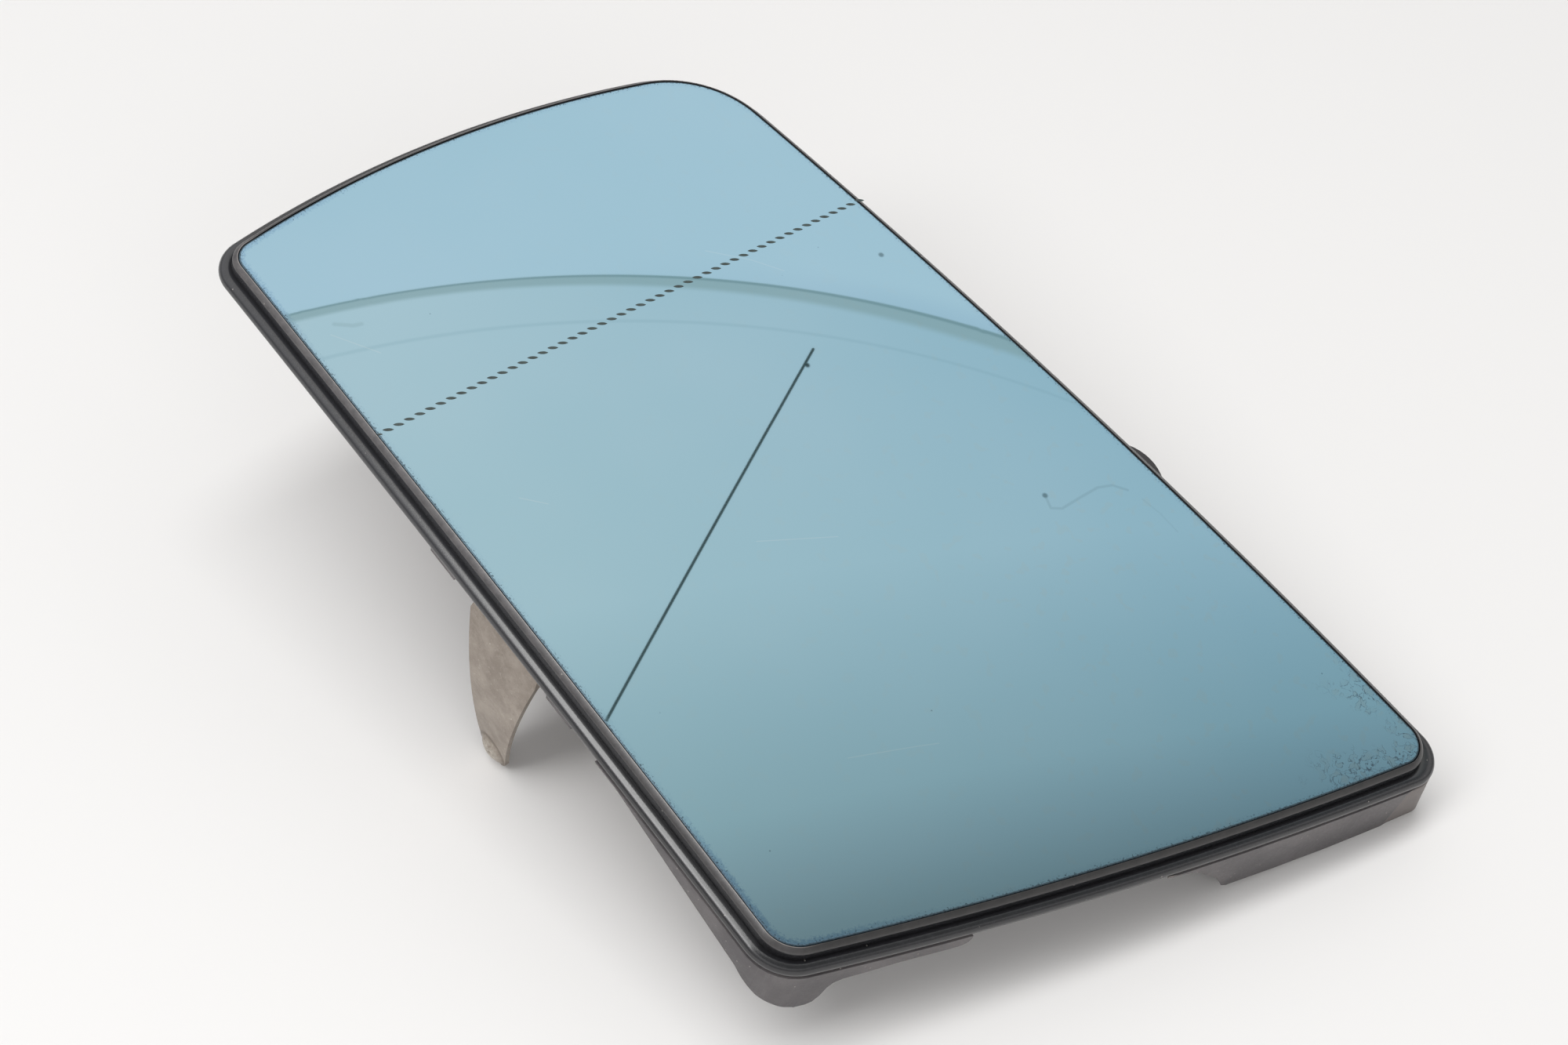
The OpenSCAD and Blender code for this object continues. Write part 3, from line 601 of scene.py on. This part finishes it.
# Depths of the lower edges over X at the lower and upper sides, and over the way along the inner end
LOWER = [(-4.7, LOW_FOOT_D), (-3.9, 18.9), (-2.7, 17.9), (-1.6, 17.2), (-0.4, 16.5), (1, 15.4),
         (2.7, 14.2), (4.8, 12.9), (39, 6.35), (SKIRT_REACH, 6.35)]
UPPER = [(-60, FOOT_D), (FOOT_END, FOOT_D), (FOOT_END + 1, 20.6), (FOOT_END + 4, 16.9),
         (FOOT_END + 8, 13.05), (39, 6.35), (SKIRT_REACH, 6.35)]
END = [(-20, LOW_FOOT_D), (NEAR_FROM, LOW_FOOT_D), (6.3, LOW_FOOT_D), (7.3, 18.45), (8.0, 17.2),
       (8.4, 15.4), (8.8, 13.6), (9.5, 12.2), (10.6, 11.4), (12.5, 11.15), (21, 10.15), (31.3, 9.95),
       (32.5, 9.4), (33.1, 8.6), (LOW_RUN_END, 7.6), (69.9, 6.8), (76.7, 9.0), (82, 14.4), (83, 15.2),
       (86, 20.4), (87.4, 21.4), (90, 21.6), (104, FOOT_D), (200, FOOT_D)]
skirt_stations = make_stations(30, 0.5)
p = at(skirt_stations, SKIRT_X)
end_length = np.linalg.norm(chord(3))
end_dir = -chord(3) / end_length
end_s = (p - CORNERS[0]) @ end_dir
end_out = (p - CORNERS[0]) @ np.array([-end_dir[1], end_dir[0]])
near_end = (end_s > NEAR_FROM) & (end_s < end_length - NEAR_MARGIN) & (end_out > 0)
level = np.where(p[:, 1] < HALF_Y, LOW_FOOT_D, FOOT_D)
level = np.where(p[:, 1] < LOW_Y, np.interp(p[:, 0], *zip(*LOWER)), level)
level = np.where((p[:, 1] > HIGH_Y) & (p[:, 0] > FOOT_END), np.interp(p[:, 0], *zip(*UPPER)), level)
level = np.where(near_end, np.interp(end_s, *zip(*END)), level)
# A moving mean along the wall rounds the cuts a little
steps = lengths_along(p)
total = steps[-1] + np.linalg.norm(p[-1] - p[0])
weights = np.abs((steps[None, :] - steps[:, None] + total / 2) % total - total / 2)
weights = np.clip(1 - weights / CUT_ROUND, 0, None)
bottom = (weights * level[None, :]).sum(axis=1) / weights.sum(axis=1)
# How much smaller the skirt's radius is at the sharp corner, at the top and at the bottom
SKIRT_LESS = (1.8, 5.0)
# The wall that stands out there would dip below the floor, so its lower edge rises
bottom = bottom + sharpened(skirt_stations, SKIRT_LESS[1])[:, 0] * math.tan(LEAN)
# The section covers the carrier's own wall by COVER on both faces
COVER, SKIRT_ROUND, ROUND_MID = 0.03, 0.45, 0.13
skirt_out = SKIRT_X + COVER
skirt_in = SKIRT_X - SKIRT_T - COVER
skirt_section = [
    (1.4, seam_d + 0.04), (2.6, seam_d + 0.04), (skirt_out - 0.22, seam_d + 0.05),
    (skirt_out - 0.06, seam_d + 0.12), (skirt_out, seam_d + 0.3),
    (skirt_out, FROM_BOTTOM + SKIRT_ROUND), (skirt_out - ROUND_MID, FROM_BOTTOM + ROUND_MID),
    (skirt_out - SKIRT_ROUND, FROM_BOTTOM), (skirt_in + SKIRT_ROUND, FROM_BOTTOM),
    (skirt_in + ROUND_MID, FROM_BOTTOM + ROUND_MID), (skirt_in, FROM_BOTTOM + SKIRT_ROUND),
    (skirt_in, seam_d + 1.4)]
order = np.arange(len(p))
reached = p[:, 0] < SKIRT_REACH
low_side = (p[:, 1] < LOW_RUN_Y) & reached | near_end & (end_s < LOW_RUN_END)
high_side = (p[:, 1] > HIGH_Y) & reached & (end_s > HIGH_RUN_AFTER) | near_end & (end_s > HIGH_RUN_FROM)
# The stations start at the lower corner, so the low wall's run goes over their end
low_run = np.concatenate([order[low_side & (order > len(p) / 2)], order[low_side & (order < len(p) / 2)]])
skirts = []
for name, run in (("carrier_skirt_low", low_run), ("carrier_skirt_high", order[high_side])):
    piece = sweep(name, skirt_stations[run], skirt_section, 50, SKIRT_LESS, bottom[run])
    skirts.append(piece)
dull = Paint("carrier_dull")
where = dull.position()
cloud = dull.noise(where, 0.10, 5.0, 0.65)
fine = dull.noise(where, 1.8, 5.0, 0.7)
grain = dull.noise(where, 7.0, 3.0, 0.6)
dusty = dull.step(dull.axis(dull.attribute("flat", 1), 1), 4.0, 70.0)
grey = dull.mix(dull.step(cloud, 0.3, 0.7), srgb(78, 75, 77), srgb(98, 94, 95))
grey = dull.mix(dull.mul(dusty, dull.step(cloud, 0.2, 0.6, 0.6, 1.0)), grey, srgb(112, 105, 102))
light_grain = dull.mul(dull.step(fine, 0.5, 0.72), dull.step(dusty, 0.0, 1.0, 0.15, 0.5))
grey = dull.mix(light_grain, grey, srgb(134, 127, 123))
dark_grain = dull.mul(dull.step(fine, 0.46, 0.3), dull.step(dusty, 0.0, 1.0, 0.2, 0.5))
grey = dull.mix(dark_grain, grey, srgb(58, 55, 55))
light_specks = dull.spots(where, 0.7, 0.12, 0.06, 0.72, 0.75)
grey = dull.mix(dull.mul(light_specks, 0.75), grey, srgb(176, 168, 160))
dark_specks = dull.spots(dull.vec("ADD", where, (3.1, 5.3, 1.7)), 0.5, 0.10, 0.05, 0.78, 0.8)
grey = dull.mix(dull.mul(dark_specks, 0.8), grey, srgb(38, 35, 34))
# The ear on the upper edge is darker than the skirt, round its place along the world's X
EAR_X = -23.3
at_ear = dull.mul(dull.around(dull.axis(where, 0), EAR_X, 12.0, 10.0),
                  dull.step(dull.axis(where, 1), -57.0, -59.0))
grey = dull.mix(dull.mul(at_ear, 0.85), grey, srgb(30, 28, 29))
dull.set("Base Color", grey)
dull.set("Roughness", dull.step(fine, 0.2, 0.8, 0.4, 0.62))
dull.bump(dull.math("ADD", grain, dull.mul(fine, 1.5)), 0.15, 0.0001)
for piece in skirts:
    dull.on(piece)
dull.on(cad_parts["carrier"])

# Spring bracket: the flat blank of the sheet, bent into two arms
# The web's straight edges have points at NECK
NECK = (22.0, 30.0)
# Points inside the sheet are GRID apart, in rows FLAT_STEP apart on the web, and CLEAR of its edges
GRID, GRID_HALF, FLAT_STEP, CLEAR = 0.8, 19.2, 1.6, 0.45
BEND_ROWS, BEND_GAP = 12, 0.7


def side_y(i, x):
    """Place of side i along Y at x."""
    c, r = side_c(i), side_r(i)
    h = math.sqrt(r * r - (x - c[0]) ** 2)
    return c[1] - h if i == 0 else c[1] + h


arm_low_y = side_y(0, BRACKET_X) + ARM_INSET
arm_up_y = side_y(2, BRACKET_X) - ARM_INSET
web_y = (arm_low_y + arm_up_y) / 2
arm_half = (arm_up_y - arm_low_y) / 2
bend_out = BEND_R + SHEET_T
bow_half = math.asin((TIP_D - WEB_D - bend_out) / 2 / BOW_R)
bend_c = np.array([-arm_half + BOW_R - (BOW_R - bend_out) * math.cos(bow_half), -WEB_D - bend_out])
bow_c = bend_c + (BOW_R - bend_out) * np.array([math.cos(bow_half), -math.sin(bow_half)])
web_flat = -bend_c[0]
bend_len = bend_out * (math.pi / 2 - bow_half)


def bent(s):
    """Outer line of the bracket at a distance s from its middle: place along Y, height and normal."""
    a = abs(s)
    if a <= web_flat:
        y, z, ny, nz = -a, -WEB_D, 0.0, 1.0
    elif a <= web_flat + bend_len:
        t = math.pi / 2 + (a - web_flat) / bend_out
        y, z = bend_c[0] + bend_out * math.cos(t), bend_c[1] + bend_out * math.sin(t)
        ny, nz = math.cos(t), math.sin(t)
    else:
        t = math.pi - bow_half + (a - web_flat - bend_len) / BOW_R
        y, z = bow_c[0] + BOW_R * math.cos(t), bow_c[1] + BOW_R * math.sin(t)
        ny, nz = math.cos(t), math.sin(t)
    return (y, z, ny, nz) if s <= 0 else (-y, z, -ny, nz)


def s_of_z(z):
    """Distance along the bent sheet at which an arm has the height z."""
    t = math.pi - math.asin(max(-1, min(1, (z - bow_c[1]) / BOW_R)))
    return web_flat + bend_len + (t - (math.pi - bow_half)) * BOW_R


def bend_line(p, q, r, n):
    """Points of a curve from p to r that is drawn towards q."""
    return [tuple((1 - t) ** 2 * np.array(p) + 2 * t * (1 - t) * np.array(q) + t * t * np.array(r))
            for t in np.linspace(0, 1, n + 1)]


half_w = WEB_W / 2
arm_top, arm_pull = -WEB_D - bend_out - 1, -TIP_D * 0.7
arm_edge = (bend_line((half_w, arm_top), (half_w - 6, arm_pull), (TIP_R - TIP_BACK, -TIP_D), 26)
            + arc((-TIP_BACK, -TIP_D), TIP_R, 0, -180, 30)[1:]
            + bend_line((-TIP_BACK - TIP_R, -TIP_D), (-TIP_BACK - TIP_R - 1, arm_pull),
                        (-half_w, arm_top), 26)[1:])
arm_flat = [(x, s_of_z(z)) for x, z in arm_edge]
disc_turn = math.degrees(math.asin(math.sqrt(WEB_DISC_R ** 2 - half_w ** 2) / WEB_DISC_R))
near, far = NECK
blank = (arm_flat[::-1] + [(half_w, far), (half_w, near)]
         + arc((0, 0), WEB_DISC_R, disc_turn, -disc_turn, 30)
         + [(half_w, -near), (half_w, -far)] + [(x, -s) for x, s in arm_flat]
         + [(-half_w, -far), (-half_w, -near)]
         + arc((0, 0), WEB_DISC_R, 180 + disc_turn, 180 - disc_turn, 30)
         + [(-half_w, near), (-half_w, far)])
holes = [arc((0, 0), WEB_HOLE_R, 0, 352, 44)]
for x, s in ((0, -RIVET_SPAN), (0, RIVET_SPAN), (-RIVET_NEAR, 0), (RIVET_NEAR, 0)):
    holes.append(arc((x, s), RIVET_R + FIT, 0, 345, 23))
s_end = max(s for x, s in arm_flat)
tip_s = s_of_z(-TIP_D)
loops = [blank] + holes
points, edges = [], []
for loop in loops:
    base = len(points)
    points += [Vector(q) for q in loop]
    edges += [(base + i, base + (i + 1) % len(loop)) for i in range(len(loop))]


def crosses(poly, x, y):
    """Whether a point lies in a closed line."""
    hit = False
    for i in range(len(poly)):
        (x1, y1), (x2, y2) = poly[i - 1], poly[i]
        if (y1 > y) != (y2 > y) and x < (x2 - x1) * (y - y1) / (y2 - y1) + x1:
            hit = not hit
    return hit


def near_loop(x, y, gap):
    """Whether a point is closer than gap to a point of the sheet's outline or holes."""
    for loop in loops:
        q = np.array(loop)
        if np.min(np.hypot(q[:, 0] - x, q[:, 1] - y)) < gap:
            return True
    return False


def in_sheet(x, y):
    """Whether a point lies in the blank and in none of its holes."""
    return crosses(blank, x, y) and not any(crosses(h, x, y) for h in holes)


rows = list(np.arange(0.0, web_flat, FLAT_STEP))
rows += list(np.linspace(web_flat, web_flat + bend_len, BEND_ROWS))
rows += list(np.arange(web_flat + bend_len + BEND_GAP, s_end, GRID))
for row, s in enumerate([-r for r in reversed(rows[1:])] + rows):
    for x in np.arange(-GRID_HALF + GRID / 2 * (row % 2), GRID_HALF + 0.1, GRID):
        if in_sheet(x, s) and not near_loop(x, s, CLEAR):
            points.append(Vector((x, s)))
out_v, _, out_f, _, _, _ = delaunay_2d_cdt(points, edges, [], 0, 1e-5)
flat_pts = np.array([[v.x, v.y] for v in out_v])
kept = [tuple(f) for f in out_f if in_sheet(*flat_pts[list(f)].mean(axis=0))]
# The dimple swells the arm outwards round the tip's centre
dimple_low = DIMPLE_R - DIMPLE_H
reach = math.sqrt(DIMPLE_R ** 2 - dimple_low ** 2)
outer_pts, inner_pts = [], []
for x, s in flat_pts:
    y, z, ny, nz = bent(s)
    away = math.hypot(x + TIP_BACK, abs(s) - tip_s)
    lift = math.sqrt(max(DIMPLE_R ** 2 - away ** 2, 0)) - dimple_low if away < reach else 0.0
    outer_pts.append((x + BRACKET_X, y + ny * lift + web_y, z + nz * lift))
    inner_pts.append((x + BRACKET_X, y + ny * (lift - SHEET_T) + web_y, z + nz * (lift - SHEET_T)))
n = len(flat_pts)
count = {}
for f in kept:
    for a, b in zip(f, f[1:] + f[:1]):
        count[(a, b)] = count.get((a, b), 0) + 1
border = [(a, b) for a, b in count if (b, a) not in count]
faces = kept + [tuple(i + n for i in reversed(f)) for f in kept]
faces += [(b, a, a + n, b + n) for a, b in border]
used = sorted(set(i for f in faces for i in f))
renumber = {old: new for new, old in enumerate(used)}
all_pts = np.array(outer_pts + inner_pts)[used]
faces = [tuple(renumber[i] for i in f) for f in faces]
bracket = make_object("bracket", all_pts, faces, {"flat": all_pts}, 35)
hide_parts("spring_bracket")
steel = Paint("dull_steel", metallic=0.55)
where = steel.position()
patch = steel.noise(where, 0.16, 6.0, 0.7)
mottle = steel.noise(where, 1.2, 6.0, 0.75)
grain = steel.noise(where, 6.0, 3.0, 0.6)
brown = steel.mix(steel.step(patch, 0.3, 0.7), srgb(140, 130, 120), srgb(168, 158, 148))
brown = steel.mix(steel.mul(steel.step(mottle, 0.52, 0.7), 0.55), brown, srgb(188, 180, 170))
brown = steel.mix(steel.mul(steel.step(mottle, 0.46, 0.3), 0.5), brown, srgb(112, 100, 88))
chips = steel.mul(steel.step(steel.noise(where, 0.55, 3.0, 0.8), 0.68, 0.72), steel.step(patch, 0.45, 0.6))
brown = steel.mix(steel.mul(chips, 0.8), brown, srgb(232, 226, 216))
# The dimple that rubbed on its seat is scuffed bright
flat = steel.attribute("flat", 1)
low_tip = (BRACKET_X - TIP_BACK, web_y - bent(tip_s)[0], -TIP_D)
high_tip = (BRACKET_X - TIP_BACK, web_y + bent(tip_s)[0], -TIP_D)
rub = steel.math("MINIMUM", steel.vec("DISTANCE", flat, low_tip, 1),
                 steel.vec("DISTANCE", flat, high_tip, 1))
scuff = steel.mul(steel.step(rub, 3.4, 1.4), steel.step(mottle, 0.35, 0.6))
brown = steel.mix(steel.mul(scuff, 0.7), brown, srgb(214, 208, 198))
ring = steel.around(rub, 3.5, 0.5, 0.1)
brown = steel.mix(steel.mul(ring, 0.45), brown, srgb(92, 80, 70))
# Painted shade under the rim: the arms are darker up towards the web
shade = steel.step(steel.axis(flat, 2), -26.0, -12.0)
brown = steel.mix(steel.mul(shade, 0.12), brown, srgb(96, 88, 82))
steel.set("Base Color", brown)
steel.set("Roughness", steel.step(mottle, 0.25, 0.75, 0.36, 0.56))
steel.bump(steel.math("ADD", grain, steel.mul(mottle, 2.0)), 0.2, 0.00012)
steel.on(bracket)

# Materials of the solids behind
def finish(name, nodes, light, dark, stain, rough, metal=0.0, scale=0.8, bump=0.1, cells=0.0):
    """A plain finish: cloudy colour, stains, uneven gloss, and fine bump or open cells."""
    paint = Paint(name, metallic=metal)
    where = paint.position()
    cloud = paint.noise(where, scale * 0.3, 5.0, 0.65)
    fine = paint.noise(where, scale * 3, 4.0, 0.65)
    colour = paint.mix(paint.step(cloud, 0.3, 0.7), srgb(*dark), srgb(*light))
    colour = paint.mix(paint.mul(paint.step(fine, 0.55, 0.75), 0.6), colour, srgb(*stain))
    height = fine
    if cells:
        pore = paint.walls(where, cells)
        colour = paint.mix(paint.step(pore, 0.12, 0.02, 0.0, 0.7), colour, srgb(*stain))
        height = paint.math("ADD", height, paint.step(pore, 0.2, 0.0, 0.0, 2.0))
    paint.set("Base Color", colour)
    paint.set("Roughness", paint.step(fine, 0.2, 0.8, rough - 0.08, rough + 0.1))
    paint.bump(height, bump, 0.0002)
    for node in nodes:
        paint.on(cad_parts[node])


finish("heater_film", ["heater_foil"], (148, 92, 40), (122, 72, 30), (88, 52, 24), 0.4, 0.0, 1.0, 0.05)
finish("bonding_foam", ["foam_pad"], (52, 52, 54), (38, 38, 40), (22, 22, 23), 0.85, 0.0, 1.2, 0.5, 2.2)
finish("zinc_rivet", ["bracket_rivets", "terminal_rivets"],
       (176, 174, 168), (146, 143, 136), (112, 100, 84), 0.38, 0.9, 1.6, 0.15)
finish("ivory_socket", ["rod_socket_lower", "rod_socket_upper"],
       (214, 208, 190), (196, 188, 168), (150, 138, 114), 0.42, 0.0, 0.9, 0.08)
finish("tinned_brass", ["terminal_lower", "terminal_upper"],
       (190, 174, 128), (166, 146, 98), (120, 98, 58), 0.32, 0.95, 1.4, 0.1)

# Floor
FLOOR_HALF = 3.0
CARD_Z, CARD_HALF = 2.0, 4.0


def square(name, half, z):
    """A level square of the stage, in metres."""
    mesh = bpy.data.meshes.new(name)
    corners = [(-half, -half, z), (half, -half, z), (half, half, z), (-half, half, z)]
    mesh.from_pydata(corners, [], [(0, 1, 2, 3)])
    obj = bpy.data.objects.new(name, mesh)
    bpy.context.scene.collection.objects.link(obj)
    return obj


floor = square("floor", FLOOR_HALF, 0)
paper = Paint("paper", roughness=0.75, base_color=(0.82, 0.813, 0.808, 1))
paper.on(floor)

# Card over the object, seen only in reflections
card = square("card", CARD_HALF, CARD_Z)
for ray in ("camera", "diffuse", "transmission", "volume_scatter", "shadow"):
    setattr(card, "visible_" + ray, False)
glow = Paint("card_glow")
spot = glow.node("ShaderNodeTexCoord", 3)
x, y = glow.axis(spot, 0), glow.axis(spot, 1)
# A ramp of light along the card, turned a little towards Y
RAMP_TURN, RAMP_FROM, RAMP_TO = 0.3, -0.2, 1.05
along = glow.math("SUBTRACT", x, glow.mul(y, RAMP_TURN))
share = glow.node("ShaderNodeMapRange", i0=along, i1=RAMP_FROM, i2=RAMP_TO, i3=0.0, i4=1.0)
fall = glow.node("ShaderNodeValToRGB", 0, None, Fac=share)
ramp = fall.node.color_ramp
ramp.elements[0].position, ramp.elements[0].color = 0.0, (0.25, 0.27, 0.27, 1)
ramp.elements[1].position, ramp.elements[1].color = 1.0, (0.93, 0.935, 0.91, 1)
SHADES = [(0.136, (0.34, 0.37, 0.36)), (0.192, (0.44, 0.48, 0.47)), (0.269, (0.57, 0.63, 0.61)),
          (0.392, (0.69, 0.74, 0.72)), (0.524, (0.85, 0.87, 0.84))]
for place_at, shade in SHADES:
    ramp.elements.new(place_at).color = (*shade, 1)
SLOPE_FROM, SLOPE_TO = -1.6, -0.7
slope = glow.node("ShaderNodeMapRange", i0=y, i1=SLOPE_FROM, i2=SLOPE_TO, i3=0.0, i4=1.0)
fall = glow.node("ShaderNodeMix", 2, {"data_type": "RGBA", "blend_type": "MULTIPLY"}, i0=1.0, i6=fall,
                 i7=glow.mix(slope, (0.86, 0.93, 0.98, 1), (1.13, 1.08, 1.06, 1)))
# A large ring's edge borders the bright zone, and a thread crosses the darker one
RING_C, RING_R, SECOND_IN = (-1.158, -0.261), 1.957, 0.075
THREAD, KNOT = [(0.426, -1.230), (0.246, -0.911), (0.100, -0.652)], (0.408, -1.205)
spread = glow.vec("DISTANCE", spot, (*RING_C, CARD_Z), 1)
tall = glow.node("ShaderNodeMapRange", i0=x, i1=0.72, i2=0.35, i3=0.012, i4=0.026)
depth = glow.math("DIVIDE", glow.math("SUBTRACT", RING_R, spread), tall)
band = glow.mul(glow.step(depth, -0.12, 0.0), glow.step(depth, 1.35, 0.75))
line = glow.mul(glow.step(depth, -0.12, 0.02), glow.step(depth, 0.26, 0.1))
haze = glow.mul(glow.step(spread, RING_R + 0.05, RING_R), glow.step(x, 0.7, 0.35))
colour = glow.mix(glow.step(depth, 0.02, -0.1), fall, (1.0, 1.0, 1.0, 1))
colour = glow.mix(glow.mul(haze, glow.step(depth, 0.0, -0.08), 0.4), colour, (0.72, 0.78, 0.86, 1))
colour = glow.mix(glow.mul(band, 0.75), colour, (0.63, 0.66, 0.60, 1))
colour = glow.mix(glow.mul(line, 0.6), colour, (0.33, 0.42, 0.40, 1))
second = glow.mul(glow.around(spread, RING_R - SECOND_IN, 0.004, 0.001), 0.2)
colour = glow.mix(second, colour, (0.5, 0.6, 0.6, 1))
level = glow.scaled(spot, 1, 1, 0)
thread = glow.step(glow.along_line(level, THREAD), 0.0024, 0.0014)
knot = glow.step(glow.apart(level, KNOT), 0.0055, 0.002)
colour = glow.mix(glow.mul(glow.math("MAXIMUM", thread, knot), 0.95), colour, (0.06, 0.08, 0.07, 1))
emit = glow.node("ShaderNodeEmission", 0, None, Color=colour, Strength=1.0)
glow.tree.links.new(emit, glow.tree.nodes["Material Output"].inputs["Surface"])
glow.on(card)

# World: even, nearly white light from all round
WORLD_LIGHT = 0.49
world = bpy.data.worlds.new("studio")
bpy.context.scene.world = world
world.use_nodes = True
background = world.node_tree.nodes["Background"]
background.inputs["Color"].default_value = (1.0, 0.995, 0.99, 1)
background.inputs["Strength"].default_value = WORLD_LIGHT


def area(name, where, size, power, colour):
    """A rectangular lamp."""
    data = bpy.data.lights.new(name, "AREA")
    data.shape = "RECTANGLE"
    data.size, data.size_y = size
    data.energy = power
    data.color = colour
    lamp = bpy.data.objects.new(name, data)
    bpy.context.scene.collection.objects.link(lamp)
    lamp.location = where
    return lamp


# A long softbox leans over the left side, from above the part down towards +Y
KEY_AT, KEY_SIZE, KEY_POWER, KEY_ALONG = (0.02, 0.525, 1.525), (0.45, 2.1), 19.5, (0, 0.917, -0.400)
key = area("key", KEY_AT, KEY_SIZE, KEY_POWER, (1.0, 0.997, 0.99))
long_way, wide_way = Vector(KEY_ALONG).normalized(), Vector((1, 0, 0))
key.matrix_world = Matrix.Translation(key.location) @ Matrix(
    (wide_way, long_way, wide_way.cross(long_way))).transposed().to_4x4()

# A low lamp at the near end lifts the shadow there
FILL_AT, FILL_SIZE, FILL_POWER = (-0.95, 0.45, 0.75), (0.7, 0.5), 2.5
fill = area("fill", FILL_AT, FILL_SIZE, FILL_POWER, (1.0, 0.99, 0.98))
fill.visible_glossy = False
fill.rotation_euler = (-fill.location).to_track_quat("-Z", "Y").to_euler()

# Camera, from the photograph's perspective
CAMERA_AT = place([-93.81, -181.02, 400.01])
RIGHT, UP = world_dir([-0.60126, 0.77159, 0.20769]), world_dir([0.73168, 0.42719, 0.53118])
FORWARD = world_dir([0.32113, 0.47134, -0.82141])
LENS, SENSOR, CLIP = 65.0, 36.0, 0.01
camera_data = bpy.data.cameras.new("camera")
camera_data.lens, camera_data.sensor_width, camera_data.sensor_fit = LENS, SENSOR, "HORIZONTAL"
camera_data.clip_start = CLIP
camera = bpy.data.objects.new("camera", camera_data)
bpy.context.scene.collection.objects.link(camera)
turn = Matrix((RIGHT, UP, -FORWARD)).transposed().to_4x4()
camera.matrix_world = Matrix.Translation(CAMERA_AT) @ turn
bpy.context.scene.camera = camera
bpy.context.scene.view_settings.view_transform = "Standard"
